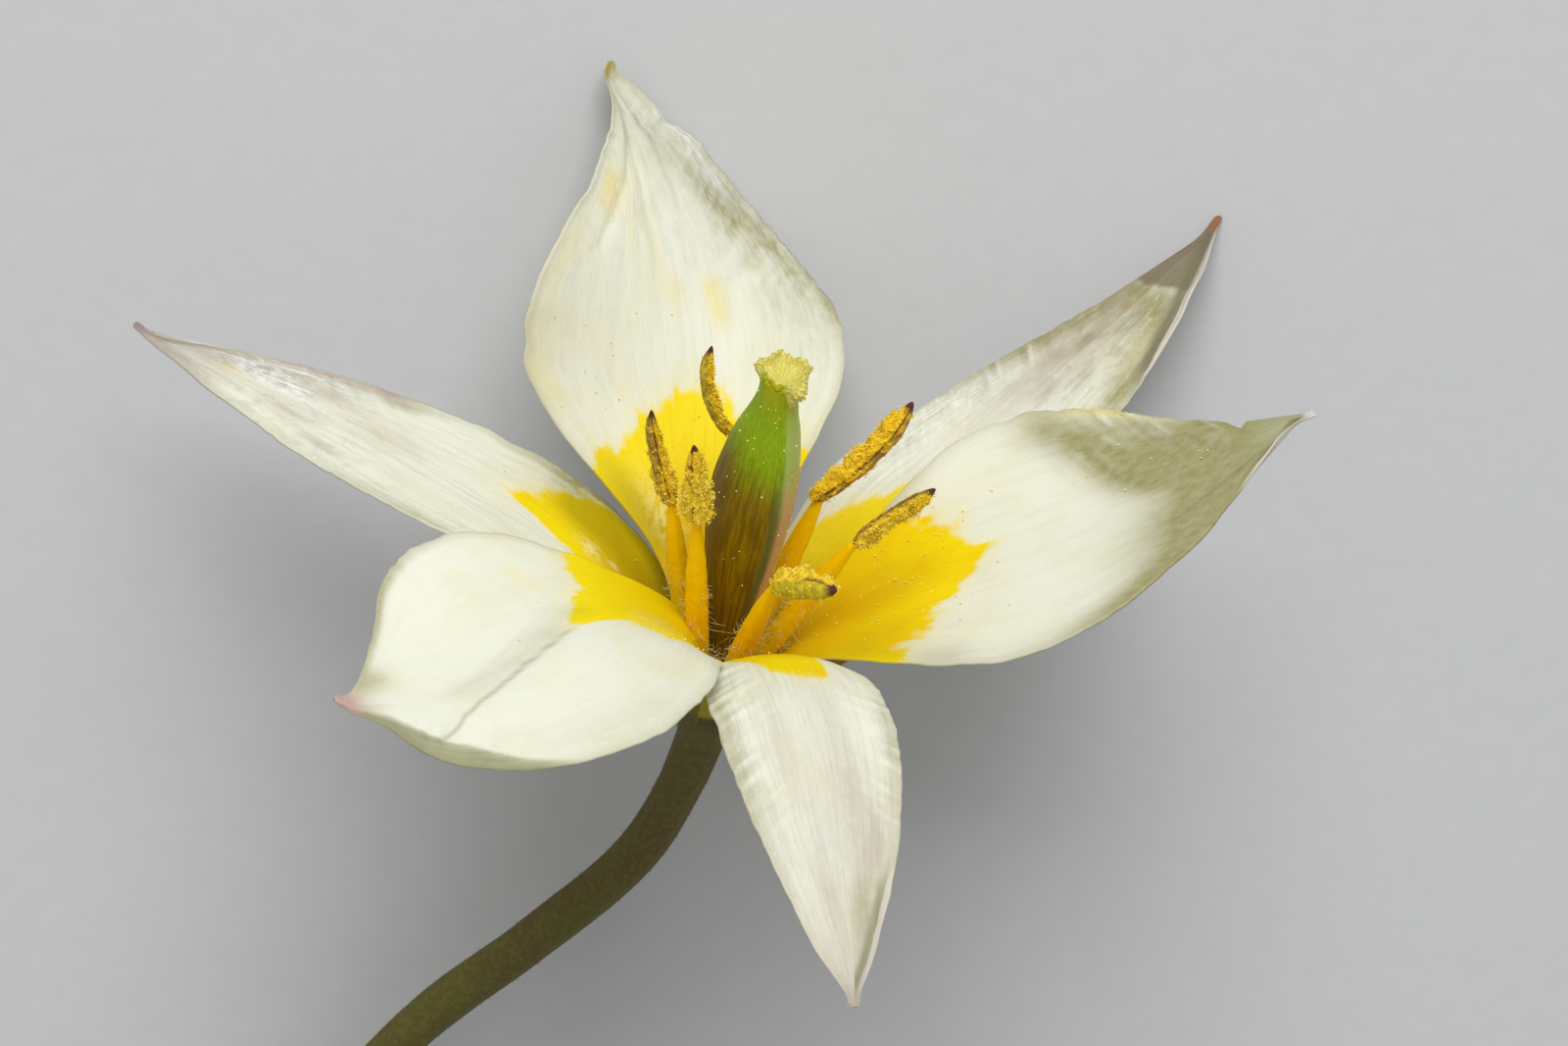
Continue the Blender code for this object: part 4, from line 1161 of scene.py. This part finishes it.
def pistil_form():
    """The pistil's rings, the azimuths of their points, and how mealy each point is."""
    heights, radii = pistil_outline()
    angles = around(PISTIL_COLUMNS)
    turned = angles + RIDGE_AZIMUTH
    azimuths = np.degrees(turned)
    crown = np.interp(azimuths, *zip(*CROWN), period=360)
    crest = smooth(crown, 0.76, 1.1)
    hanging = np.exp(-(((azimuths - HANGING_LOBE + 180) % 360 - 180) / LOBE_SPREAD) ** 2)
    high, radius = heights[:, None], radii[:, None]
    wing = smooth(high, WING[0] - LOBE_DROP * hanging, WING[1])
    wing = wing * (1 - 0.3 * smooth(high, 15.35, 15.6)) * smooth(radius, 0.05, 0.6)
    lobes = np.cos(3 * (angles - OVARY_TURN))
    ridge = np.exp(-((np.sin(1.5 * (angles - OVARY_TURN)) / RIDGE_WIDTH) ** 2))
    neck = 1 - smooth(high, *NECK)
    ribs = 0.006 * noise(angles / (2 * math.pi) * NOISE_CELLS, high * 0.5, PISTIL_SEED + 1)
    body = radius * (1 + neck * (OVARY_RIDGE * lobes + 0.025 * ridge) + ribs)
    frill = 0.16 * noise(angles * 9, high * 5, PISTIL_SEED + 2)
    frill = frill + 0.12 * noise(angles * 22, high * 12, PISTIL_SEED + 3)
    reach = body + wing * (np.maximum(crown - body, 0) * (1 + frill) + 0.25 * frill)
    uneven = 0.14 * noise(angles * 6, 0.0, PISTIL_SEED + 4)
    sag = high + smooth(high, 14.9, 15.5) * (uneven + 0.06 * crest * smooth(reach, 0.3, 1.0) - 0.12)
    mealy = np.clip((wing * 1.6 + smooth(high, 15.0, 15.35)) * (0.05 + 0.95 * crest), 0, 1)
    hollow = smooth(-radius, -0.56, -0.4) * (high > STIGMA_FROM)
    return polar(reach, turned, sag), turned, mealy + hollow * (0.62 - mealy)


def pistil_shell():
    """The three-sided ovary with its ridges, and the stigma's three crests with their papillae."""
    rng = np.random.default_rng(PISTIL_SEED)
    rings, azimuths, mealy = pistil_form()
    turn = polar(1.0, azimuths, rings[..., 2])
    shell = Shell("turn", "grain", "mealy")
    shell.add(*tube(rings), turn=np.vstack([turn.reshape(-1, 3), (1, 0, -0.3), (1, 0, 15.4)]), grain=0,
              mealy=tube_values(mealy, PISTIL_COLUMNS, 0, 1))

    def grains(rows, columns, radii, lift, kind, rise):
        """Adds grains of one kind on the given points of the rings."""
        outward = unit(polar(1.0, azimuths[columns], rise))
        places = rings[rows, columns] + outward * lift[:, None]
        add_grains(shell, places, radii, rng, turn=turn[rows, columns], grain=kind, mealy=1)

    tries = PAPILLA_TRIES
    rows, columns = rng.integers(0, len(rings), tries), rng.integers(0, PISTIL_COLUMNS, tries)
    kept = rng.uniform(0.25, 1, tries) < mealy[rows, columns]
    rows, columns = rows[kept][:PAPILLAE], columns[kept][:PAPILLAE]
    radii, lift = rng.uniform(*PAPILLA_RADII, len(rows)), rng.uniform(-0.01, 0.05, len(rows))
    grains(rows, columns, radii, lift, 1, 0.6)
    rows, columns = rng.integers(*STRAY_ROWS, STRAYS), rng.integers(0, PISTIL_COLUMNS, STRAYS)
    radii, lift = rng.uniform(*STRAY_RADII, STRAYS), rng.uniform(0, 0.02, STRAYS)
    grains(rows, columns, radii, lift, 2, 0.0)
    return shell


# ---------------------------------------------------------------- stem

STEM_SEED = 600
STEM_STEPS, STEM_SIDES, STEM_HAIRS = 24, 40, 1500
STEM_END = 100.0  # mm: farther down than the stem reaches
CUP = ((0.5, 0.4), (1.1, 0.32), (1.28, 0.1))  # the receptacle's top: share of the first ring, mm above it
CUP_REACH = (-0.4, -0.3, -0.1)
CUT = (0.97, 0.8, 0.4)  # the cut face's rings, as shares of the last ring
CUT_STEP = 0.02
FLESH = (0.0, 1.0, 1.0)  # how much of the cut's colour each of them shows
FIRST_HAIRY_ROW = 12
STEM_HAIR_LENGTHS, STEM_HAIR_CURL = (0.07, 0.19), 0.1


def stem_shell():
    """The stem with fine ribs and a short down, the receptacle on its top and the cut at its end."""
    rng = np.random.default_rng(STEM_SEED)
    route = smooth_route(STEM_ROUTE, STEM_STEPS)
    along = travelled(route)
    profile = RECEPTACLE_PROFILE + ((7.0, STEM_RADIUS), (STEM_END, STEM_RADIUS))
    radii = np.interp(along, *zip(*profile))
    angles = around(STEM_SIDES)
    ribs = 1 + 0.018 * np.cos(9 * angles) + 0.012 * noise(angles * 5, along[:, None] * 0.7, STEM_SEED + 1)
    knots = 1 + 0.03 * noise(along[:, None] * 0.5, angles, STEM_SEED + 2)
    rings = rings_along(route, radii[:, None] * ribs * knots, angles)
    middle, end = rings[0].mean(axis=0), rings[-1].mean(axis=0)
    cup = [middle + (rings[0] - middle) * wide + (0, 0, high) for wide, high in CUP]
    beyond = unit(route[-1] - route[-2]) * CUT_STEP
    cut = [end + (rings[-1] - end) * wide + beyond for wide in CUT]
    reach = np.concatenate([CUP_REACH, along, [along[-1]] * len(CUT)])
    flesh = np.concatenate([np.zeros(len(CUP) + len(along)), FLESH])
    shell = Shell("reach", "cut", "hair")
    shell.add(*tube(np.concatenate([cup, rings, cut])), cut=tube_values(flesh, STEM_SIDES, 0, 1), hair=0,
              reach=tube_values(reach, STEM_SIDES, CUP_REACH[0], along[-1]))
    count = STEM_HAIRS
    rows = rng.integers(FIRST_HAIRY_ROW, len(rings) - 1, count)
    columns = rng.integers(0, STEM_SIDES, count)
    lengths = rng.uniform(*STEM_HAIR_LENGTHS, count)
    hairs_on(shell, rings, route, rows, columns, lengths, STEM_HAIR_CURL, rng,
             reach=along[rows], cut=0, hair=1)
    return shell


# ---------------------------------------------------------------- hairs in the cup, and loose pollen

CUP_HAIR_SEED, LOOSE_SEED = 700, 800
CUP_HAIRS = 220
CUP_HAIR_RADIUS = 0.013
CUP_HAIR_CURL = 0.42
CUP_RADII = (0.75, 1.8)
CUP_HEIGHTS = (-0.1, 1.7)
FILAMENTS_FROM = 1.1  # the hairs farther out than this stand on the filaments, at any height
LOOSE_RADII = (0.02, 0.046)
LOOSE_LIFT = 0.05
LOOSE_SCATTER = 0.04
LOOSE_REACH, LOOSE_ACROSS = (0.06, 0.97), (-0.99, 0.99)


def base_hairs_shell():
    """Long curly hairs between the ovary's foot and the filaments."""
    rng = np.random.default_rng(CUP_HAIR_SEED)
    count = CUP_HAIRS
    azimuth = rng.uniform(0, 2 * math.pi, count)
    radius = rng.uniform(*CUP_RADII, count)
    height = rng.uniform(*CUP_HEIGHTS, count) * (radius > FILAMENTS_FROM)
    outward = polar(0.6, azimuth, rng.uniform(0.0, 1.1, count))
    lengths = rng.gamma(4.0, 0.28, count)
    shell = Shell("hair")
    roots = polar(radius, azimuth, height)
    add_hairs(shell, roots, outward, lengths, CUP_HAIR_RADIUS, CUP_HAIR_CURL, rng, hair=1)
    return shell


def loose_pollen_shell(drawn):
    """Single grains and small clumps on the tepals' inner faces."""
    rng = np.random.default_rng(LOOSE_SEED)
    shell = Shell("grain")
    t = blade_rows()
    for name, reach, reach_spread, place, spread, count, size in DUST:
        surface, normals, _ = drawn[name]
        rows = np.searchsorted(t, np.clip(rng.normal(reach, reach_spread, count), *LOOSE_REACH))
        s = np.clip(rng.normal(place, spread, count), *LOOSE_ACROSS)
        columns = np.rint((s + 1) / 2 * COLUMNS).astype(int)
        lift = BLADE_THICKNESS / 2 * (1 - np.abs(s) ** THINNING) + LOOSE_LIFT
        places = surface[rows, columns] + normals[rows, columns] * lift[:, None]
        places = places + rng.normal(0, LOOSE_SCATTER * size, places.shape)
        radii = size * rng.uniform(*LOOSE_RADII, count)
        add_grains(shell, places, radii, rng, grain=rng.uniform(1, 2, count))
    return shell


# ---------------------------------------------------------------- materials


class Graph:
    """A material's node tree. Most methods add a node or a few, and give back the last one's output."""

    def __init__(self, name):
        self.material = bpy.data.materials.new(name)
        self.material.use_nodes = True
        self.tree = self.material.node_tree
        self.shader = self.tree.nodes["Principled BSDF"]

    def wire(self, socket, value):
        """Joins an output to the socket, or writes a number or colour on it."""
        if isinstance(value, bpy.types.NodeSocket):
            self.tree.links.new(value, socket)
        elif isinstance(value, tuple) and socket.type == "RGBA":
            socket.default_value = (*value, 1)
        else:
            socket.default_value = value

    def node(self, kind, inputs, **settings):
        """A new node, its settings made and its inputs wired."""
        made = self.tree.nodes.new(kind)
        for setting, value in settings.items():
            setattr(made, setting, value)
        for key, value in inputs.items():
            self.wire(made.inputs[key], value)
        return made

    def attributes(self, *names):
        """The numbers kept under these names at the mesh's points."""
        return [self.node("ShaderNodeAttribute", {}, attribute_name=name).outputs["Fac"] for name in names]

    def parts(self, name):
        """The three parts of a vector kept at the mesh's points."""
        vector = self.node("ShaderNodeAttribute", {}, attribute_name=name).outputs["Vector"]
        return self.node("ShaderNodeSeparateXYZ", {0: vector}).outputs[:]

    def place(self):
        """The place on the object, in metres."""
        return self.node("ShaderNodeTexCoord", {}).outputs["Object"]

    def maths(self, operation, a, b=0.0):
        """A sum, product or the like of two numbers."""
        return self.node("ShaderNodeMath", {0: a, 1: b}, operation=operation).outputs[0]

    def add(self, a, b):
        """Two numbers added."""
        return self.maths("ADD", a, b)

    def times(self, a, b):
        """Two numbers multiplied."""
        return self.maths("MULTIPLY", a, b)

    def scaled(self, value, factor, offset):
        """The number times a factor, and moved by an offset."""
        return self.add(self.times(value, factor), offset)

    def swing(self, value, width):
        """Noise turned into a number that swings about 0."""
        return self.times(self.add(value, -0.5), width)

    def noise(self, vector, scale=1.0, detail=2.0, roughness=0.5):
        """Noise from 0 to 1 over a vector."""
        inputs = {"Vector": vector, "Scale": scale, "Detail": detail, "Roughness": roughness}
        return self.node("ShaderNodeTexNoise", inputs).outputs[0]

    def pattern(self, x, y, z, detail=2.0, roughness=0.5):
        """Noise over three coordinates, each a number or a pair of a number and its scale."""
        axes = [self.times(*axis) if isinstance(axis, tuple) else axis for axis in (x, y, z)]
        vector = self.node("ShaderNodeCombineXYZ", dict(enumerate(axes))).outputs[0]
        return self.noise(vector, detail=detail, roughness=roughness)

    def step(self, value, low, high):
        """A smooth step from 0 at low to 1 at high."""
        inputs = {0: value, 1: low, 2: high}
        return self.node("ShaderNodeMapRange", inputs, interpolation_type="SMOOTHSTEP").outputs[0]

    def mix(self, factor, a, b):
        """Two colours mixed: a where the factor is 0, b where it is 1."""
        return self.node("ShaderNodeMix", {0: factor, 6: a, 7: b}, data_type="RGBA").outputs[2]

    def layers(self, colour, *rows):
        """The colour with others laid over it in turn, each under a mask and a share of it if given."""
        for over, mask, *share in rows:
            colour = self.mix(self.times(mask, *share) if share else mask, colour, over)
        return colour

    def bump(self, height, distance):
        """The normal of a surface with small relief."""
        return self.node("ShaderNodeBump", {"Height": height, "Distance": distance}).outputs[0]

    def finish(self, colour, roughness, normal, through=0.0, gloss=0.5):
        """Sets the shader, with a share of the light passing through to the other side."""
        self.wire(self.shader.inputs["Base Color"], colour)
        self.wire(self.shader.inputs["Roughness"], roughness)
        self.wire(self.shader.inputs["Normal"], normal)
        self.shader.inputs["Specular IOR Level"].default_value = gloss
        if through:
            glow = self.node("ShaderNodeBsdfTranslucent", {"Color": colour, "Normal": normal})
            inputs = {0: through, 1: self.shader.outputs[0], 2: glow.outputs[0]}
            mixed = self.node("ShaderNodeMixShader", inputs)
            self.wire(self.tree.nodes["Material Output"].inputs["Surface"], mixed.outputs[0])
        return self.material


class Blade(Graph):
    """A tepal's node tree, with what its mesh keeps and its noises at hand."""

    def __init__(self, name):
        super().__init__(name)
        self.detail = DETAIL[name]
        self.outer = name.startswith("outer")
        self.length = float(TEPALS[name]["length"])
        seed = 7.0 * list(TEPALS).index(name)
        across, reach, self.face = self.parts("blade")
        wide, long, self.edge = self.parts("metric")
        self.across, self.reach = across, reach
        self.shade, self.blush, self.tan = self.parts("stains_and_shade")
        self.line, self.valley, self.strip = self.parts("crease_and_fold_shade")
        self.depth, self.glint = self.attributes("blotch", "glint")
        self.veins = self.pattern((across, 16), (reach, 6), seed, detail=3)
        self.threads = self.pattern((across, 46), (reach, 10), seed, detail=3)
        self.clouds = self.pattern((wide, 0.45), (long, 0.35), seed, detail=3)
        self.flecks = self.pattern((wide, 3.2), (long, 1.6), seed, detail=4, roughness=0.65)
        self.cells = self.pattern((wide, 22), (long, 9), seed)
        self.lobes = self.pattern((wide, 0.8), (long, 0.45), seed + 3)
        self.teeth = self.pattern((across, 18), (reach, 9), seed + 3, detail=3)
        self.clear = self.pattern((wide, 2.2), (long, 1.2), seed + 5, detail=3, roughness=0.6)


def blade_white(g):
    """White with fine broken veins, stains, painted shade, clear patches, and painted highlights and
    reflections at the glints.
    """
    veined, mottle = g.detail["veins"], g.detail["mottle"]
    broken = g.add(g.times(g.threads, 0.6 if g.outer else 0.25), g.times(g.flecks, 0.8))
    patchy = g.scaled(g.step(broken, 0.3, 0.8), mottle, 1 - mottle)
    glassy = g.times(g.step(g.clear, 0.5, 0.62), g.step(g.reach, 0.4, 0.8))
    return g.layers(
        g.mix(g.times(g.step(g.clouds, 0.42, 0.7), 0.6), WHITE, CREAM),
        (VEIN_WHITE, g.step(g.veins, 0.42, 0.68), veined),
        (THREAD_GREY, g.step(g.threads, 0.52, 0.74), veined * 0.6),
        (SHADE_OLIVE, g.step(g.edge, 0.6, 0.0), 0.22),
        # Painted shade from the shade map.
        (SHADE_OLIVE, g.shade, patchy),
        # Mauve blush; in a few rows it is painted shade.
        (MAUVE_BLUSH_AND_SHADE, g.blush, patchy),
        (TAN_SMUDGE, g.tan, patchy),
        (GLASSY_AND_REFLECTION_GREY, glassy, g.detail["glassy"]),
        # Painted reflection: grey round the glints.
        (GLASSY_AND_REFLECTION_GREY, g.glint, g.times(g.step(g.flecks, 0.62, 0.4), 0.5)),
        # Painted highlight: white streaks at the glints.
        (PAINTED_HIGHLIGHT_WHITE, g.glint, g.step(g.add(g.threads, g.times(g.flecks, 0.5)), 0.72, 0.82)),
    )


def with_end(g, colour):
    """The colour with the blade's tinted end over it, and the painted shade of its folds and creases."""
    end_reach, softness, end_colour, end_strength = g.detail["cap"]
    jagged = g.add(g.reach, g.times(g.maths("MINIMUM", g.across, 0.3), g.detail["slant"]))
    jagged = g.add(jagged, g.swing(g.teeth, 0.006 + 0.3 * softness))
    return g.layers(
        colour,
        (end_colour, g.step(jagged, end_reach, end_reach + softness), end_strength),
        # Painted shade in each fold's band.
        (g.detail["valley"], g.valley, g.scaled(g.veins, 0.4, 0.7)),
        # Painted shade on the folded strip beyond the fold.
        (STRIP_PAINTED_SHADE, g.strip, g.scaled(g.threads, 0.6, 0.45)),
        # Painted shade along the creases.
        (CREASE_SHADE_BROWN, g.line, 0.75),
    )


def with_blotch(g, colour):
    """The colour with the ragged yellow blotch over it, and loose pollen and a paler rim round that."""
    ragged = g.add(g.depth, g.add(g.swing(g.lobes, 2.2), g.swing(g.teeth, 0.8)))
    ragged = g.add(ragged, g.swing(g.flecks, 0.9))
    yellow = g.layers(
        g.mix(g.times(g.step(g.depth, 1.0, 7.0), g.detail["deep"]), LEMON, GOLD),
        (GOLD, g.step(g.clouds, 0.3, 0.7), g.detail["gold"]),
        # Painted shade in the yellow, where the shade map lies.
        (OLIVE_GOLD_VEINS_AND_SHADE, g.shade, 0.75),
        # At the feet: painted shade on the outer tepals, painted light on the inner ones.
        (OLIVE_GOLD_VEINS_AND_SHADE if g.outer else PAINTED_LIGHT_AMBER, g.step(g.reach, 0.19, 0.04)),
        (OLIVE_GOLD_VEINS_AND_SHADE, g.step(g.threads, 0.48, 0.8), 0.18),
        # Painted highlight on the yellow at the glints.
        (PAINTED_HIGHLIGHT_YELLOW, g.glint, g.step(g.flecks, 0.4, 0.56)),
    )
    return g.layers(
        colour,
        (TAN_SMUDGE, g.times(g.step(g.flecks, 0.62, 0.7), g.step(g.depth, -6.0, 0.0)), 0.35),
        (HALO, g.step(ragged, -1.5, 0.2), g.times(g.face, 0.32)),
        (yellow, g.step(ragged, -0.3, 0.35), g.scaled(g.face, 0.8, 0.2)),
    )


def with_tip_and_back(g, colour):
    """The colour with the tip's own, and on the back with a band that is greener towards the foot."""
    tip_colour, tip_reach = g.detail["tip"]
    to_tip = g.add(g.times(g.scaled(g.reach, -1.0, 1.0), g.length), g.swing(g.flecks, 0.8))
    back = g.layers(
        g.mix(g.step(g.reach, 0.55, 0.2), BACK_MAUVE if g.outer else BACK_GREEN, BACK_GREEN),
        (BACK_FOOT, g.step(g.reach, 0.13, 0.07)),
        (STEM_OLIVE, g.step(g.reach, 0.026, 0.014)),
    )
    band = g.step(g.add(g.maths("ABSOLUTE", g.across), g.times(g.veins, 0.4)), 0.85, 0.2)
    band = g.maths("MAXIMUM", g.times(band, 0.55), g.step(g.reach, 0.14, 0.07))
    return g.layers(
        colour,
        (tip_colour, g.step(to_tip, tip_reach + 0.35, tip_reach * 0.4)),
        (back, g.scaled(g.face, -1.0, 1.0), band),
    )


def tepal_material(name):
    """White with a yellow blotch, stains, painted shade and highlights, a tinted end and a greener back,
    with fine veins in relief.
    """
    g = Blade(name)
    colour = with_tip_and_back(g, with_blotch(g, with_end(g, blade_white(g))))
    height = g.add(g.times(g.veins, 0.5), g.add(g.times(g.threads, 0.4), g.times(g.cells, 0.2)))
    height = g.add(height, g.times(g.times(g.glint, g.flecks), 1.6))
    roughness = g.times(g.add(0.34, g.times(g.flecks, 0.24)), g.add(1.0, g.times(g.glint, -0.6)))
    relief = g.bump(height, 0.00003 + 0.00006 * g.detail["veins"])
    return g.finish(colour, roughness, relief, through=0.2, gloss=0.16)


def filament_material():
    """Orange, yellower at the foot, with pale hairs."""
    g = Graph("filament")
    reach, hair = g.attributes("reach", "hair")
    place = g.place()
    mottle, fine = g.noise(place, 1500.0, 3), g.noise(place, 9000.0, 2)
    colour = g.layers(
        g.mix(g.step(reach, 0.0, 0.5), FILAMENT_FOOT, FILAMENT_ORANGE),
        (FILAMENT_LIGHT, g.step(mottle, 0.42, 0.7), 0.5),
        (FILAMENT_TOP, g.step(reach, 0.93, 1.0)),
        (FILAMENT_HAIR, hair),
    )
    relief = g.bump(g.add(mottle, g.times(fine, 0.4)), 0.00004)
    return g.finish(colour, g.add(0.4, g.times(mottle, 0.2)), relief, through=0.12, gloss=0.15)


def anther_material():
    """Brown walls with a maroon seam and a dark tip, under clumps of golden or pale pollen."""
    g = Graph("anther")
    reach, grain, seam = g.attributes("reach", "grain", "seam")
    cover, pale, olive = g.attributes("cover", "pale", "olive")
    place = g.place()
    mottle, fine = g.noise(place, 3600.0, 4, 0.6), g.noise(place, 14000.0, 2)
    wall = g.layers(
        g.mix(g.step(mottle, 0.38, 0.62), WALL_BROWN, WALL_TAN),
        (g.mix(g.step(mottle, 0.38, 0.62), WALL_OLIVE, WALL_LIME), olive),
        (SEAM_MAROON, seam, 0.85),
        (TIP_MAROON, g.step(g.add(reach, g.times(mottle, 0.1)), 0.93, 1.02)),
    )
    dust = g.layers(
        g.mix(g.step(grain, 1.0, 2.0), POLLEN_GOLD, POLLEN_BRIGHT),
        (g.mix(g.step(grain, 1.0, 2.0), POLLEN_PALE, POLLEN_CREAM), pale),
        (POLLEN_SHADE, g.step(mottle, 0.52, 0.72), 0.3),
    )
    dusted = g.step(g.add(cover, g.swing(mottle, 0.5)), 0.1, 0.34)
    relief = g.bump(g.add(mottle, g.times(fine, 0.5)), 0.00006)
    return g.finish(g.mix(dusted, wall, dust), g.add(0.55, g.times(mottle, 0.3)), relief, gloss=0.15)


def pistil_material():
    """Green above, olive brown below with one mauve face, cream and mealy at the stigma; painted light and
    shade on two faces.
    """
    g = Graph("pistil")
    east, north, height = g.parts("turn")
    grain, mealy = g.attributes("grain", "mealy")
    streaks = g.pattern((east, 9), (north, 9), (height, 0.5), detail=3)
    fine = g.pattern((east, 34), (north, 34), (height, 2.6), detail=3)
    specks = g.pattern((east, 24), (north, 24), (height, 16))
    facing = RIDGE_AZIMUTH + OVARY_TURN + math.radians(60)
    flank = g.add(g.times(east, math.cos(facing)), g.times(north, math.sin(facing)))
    # The right face is lit: mauve with painted light below and a painted highlight above. The left face
    # gets painted shade.
    right = g.step(g.add(flank, g.times(streaks, 0.1)), 0.55, 0.66)
    left = g.step(flank, -0.55, -0.9)
    ridge = g.times(g.step(flank, 0.3, 0.48), g.step(flank, 0.68, 0.54))
    wander = g.add(height, g.add(g.times(streaks, 2.2), g.times(fine, 0.7)))
    wander = g.add(wander, g.add(g.times(left, -0.7), g.times(right, 0.5)))
    low = g.layers(
        g.mix(g.step(streaks, 0.38, 0.62), OVARY_BROWN, OVARY_TAN),
        (OVARY_STREAK, g.step(fine, 0.45, 0.7), 0.22),
        # Painted shade on the left face, painted light on the mauve right face.
        (OVARY_PAINTED_SHADE, left, 0.6),
        (OVARY_MAUVE_PAINTED_LIGHT, right),
        (OVARY_EDGE, ridge, 0.75),
    )
    # Painted highlight on the right face's green.
    high = g.layers(g.mix(g.step(fine, 0.35, 0.7), OVARY_GREEN, OVARY_BRIGHT), (OVARY_PAINTED_HIGHLIGHT, right, 0.8))
    cream = g.layers(
        g.mix(g.step(specks, 0.38, 0.65), STIGMA_STRAW, STIGMA_CREAM),
        (STIGMA_GREEN, g.step(fine, 0.4, 0.7), 0.4),
    )
    colour = g.layers(
        g.mix(g.step(wander, 10.9, 13.9), low, high),
        (NECK_YELLOW, g.step(wander, 14.7, 17.0), 0.9),
        (cream, g.step(g.add(mealy, g.times(specks, 0.3)), 0.3, 0.75)),
        (OVARY_SPECK, g.step(specks, 0.72, 0.76), 0.5),
        (cream, g.step(grain, 0.3, 0.7)),
        (STRAY_GRAIN, g.step(grain, 1.3, 1.7)),
    )
    relief = g.add(g.times(streaks, 0.5), g.add(g.times(fine, 0.4), g.times(specks, 0.15)))
    roughness = g.add(g.add(0.28, g.times(fine, 0.24)), g.times(mealy, 0.2))
    return g.finish(colour, roughness, g.bump(relief, 0.00006), gloss=0.2)


def stem_material():
    """Olive brown with darker streaks, a yellower top and a pale cut."""
    g = Graph("stem")
    reach, cut, hair = g.attributes("reach", "cut", "hair")
    place = g.place()
    mottle, fine = g.noise(place, 420.0, 4, 0.6), g.noise(place, 4200.0, 3)
    colour = g.layers(
        g.mix(g.step(mottle, 0.36, 0.66), STEM_OLIVE, STEM_BROWN),
        (STEM_LIGHT, g.step(fine, 0.42, 0.7), 0.4),
        (RECEPTACLE_YELLOW, g.step(g.add(reach, g.times(mottle, 1.2)), 3.0, 1.4)),
        (CUT_GREEN, cut),
        (STEM_HAIR, hair),
    )
    relief = g.bump(g.add(mottle, g.times(fine, 0.5)), 0.00005)
    return g.finish(colour, g.add(0.42, g.times(fine, 0.2)), relief, gloss=0.15)


def hair_material():
    """Pale straw, a little clearer in places."""
    g = Graph("base_hairs")
    mottle = g.noise(g.place(), 2400.0, 2)
    colour = g.mix(g.step(mottle, 0.4, 0.65), HAIR_STRAW, HAIR_GOLD)
    return g.finish(colour, 0.4, g.bump(mottle, 0.00001), through=0.3)


def pollen_material():
    """Golden grains, some of them paler."""
    g = Graph("loose_pollen")
    (grain,) = g.attributes("grain")
    mottle = g.noise(g.place(), 6000.0, 2)
    colour = g.mix(g.step(grain, 1.0, 2.0), FALLEN_GOLD, FALLEN_PALE)
    return g.finish(colour, g.add(0.5, g.times(mottle, 0.2)), g.bump(mottle, 0.00002))


def floor_material():
    """Plain pale grey card."""
    g = Graph("floor")
    mottle = g.noise(g.place(), 900.0, 3)
    return g.finish(g.mix(mottle, CARD_GREY, CARD_LIGHT), 0.9, g.bump(mottle, 0.00002), gloss=0.1)


# ---------------------------------------------------------------- the stage

FLOOR_SIZE = 6.0
KEY_DIRECTION = seen(0.08, 0.54, 0.84)
KEY_DISTANCE = 0.55
KEY_SIZE = 0.34
KEY_POWER = 2.7
FILL_LIGHT = 0.44
NEAREST_SEEN = 0.01


def make_stage():
    """The floor, a large lamp above and behind the camera, and even light from all round."""
    bpy.ops.mesh.primitive_plane_add(size=FLOOR_SIZE)
    floor = bpy.context.object
    floor.name = "floor"
    floor.data.materials.append(floor_material())

    key = bpy.data.objects.new("key", bpy.data.lights.new("key", "AREA"))
    key.data.size = KEY_SIZE
    key.data.energy = KEY_POWER
    direction = TURN @ unit(KEY_DIRECTION)
    key.location = ORIGIN + direction * KEY_DISTANCE
    key.rotation_euler = Vector(-direction).to_track_quat("-Z", "Y").to_euler()
    bpy.context.scene.collection.objects.link(key)

    world = bpy.data.worlds.new("studio")
    world.use_nodes = True
    world.node_tree.nodes["Background"].inputs["Color"].default_value = (1.0, 1.0, 1.0, 1)
    world.node_tree.nodes["Background"].inputs["Strength"].default_value = FILL_LIGHT
    bpy.context.scene.world = world


def make_camera():
    """The camera, which sees the flower as the photo does."""
    camera = bpy.data.objects.new("camera", bpy.data.cameras.new("camera"))
    camera.data.lens = CAMERA_LENS
    camera.data.clip_start = NEAREST_SEEN
    turn = TURN @ np.array(VIEW)
    place = into_frame(np.array(VIEW @ Vector(CAMERA_PLACE)))
    camera.matrix_world = Matrix.Translation(place) @ Matrix(turn.tolist()).to_4x4()
    bpy.context.scene.collection.objects.link(camera)
    bpy.context.scene.camera = camera
    bpy.context.scene.view_settings.view_transform = "Standard"


# ---------------------------------------------------------------- the flower


def make_flower():
    """All the pieces, each with its material."""
    drawn = {name: tepal_surface(name) for name in TEPALS}
    for name in TEPALS:
        make_piece(f"{name}_blade", tepal_shell(name, drawn[name]), tepal_material(name), name)
    filament, anther = filament_material(), anther_material()
    for number in range(len(STAMENS)):
        node = f"filament_{number + 1}"
        make_piece(f"{node}_thread", filament_shell(number), filament, node)
        node = f"anther_{number + 1}"
        make_piece(f"{node}_sacs", anther_shell(number), anther, node)
    make_piece("pistil_grown", pistil_shell(), pistil_material(), "pistil")
    make_piece("stem_grown", stem_shell(), stem_material(), "stem")
    make_piece("base_hairs", base_hairs_shell(), hair_material())
    make_piece("loose_pollen", loose_pollen_shell(drawn), pollen_material())


make_camera()
make_stage()
make_flower()
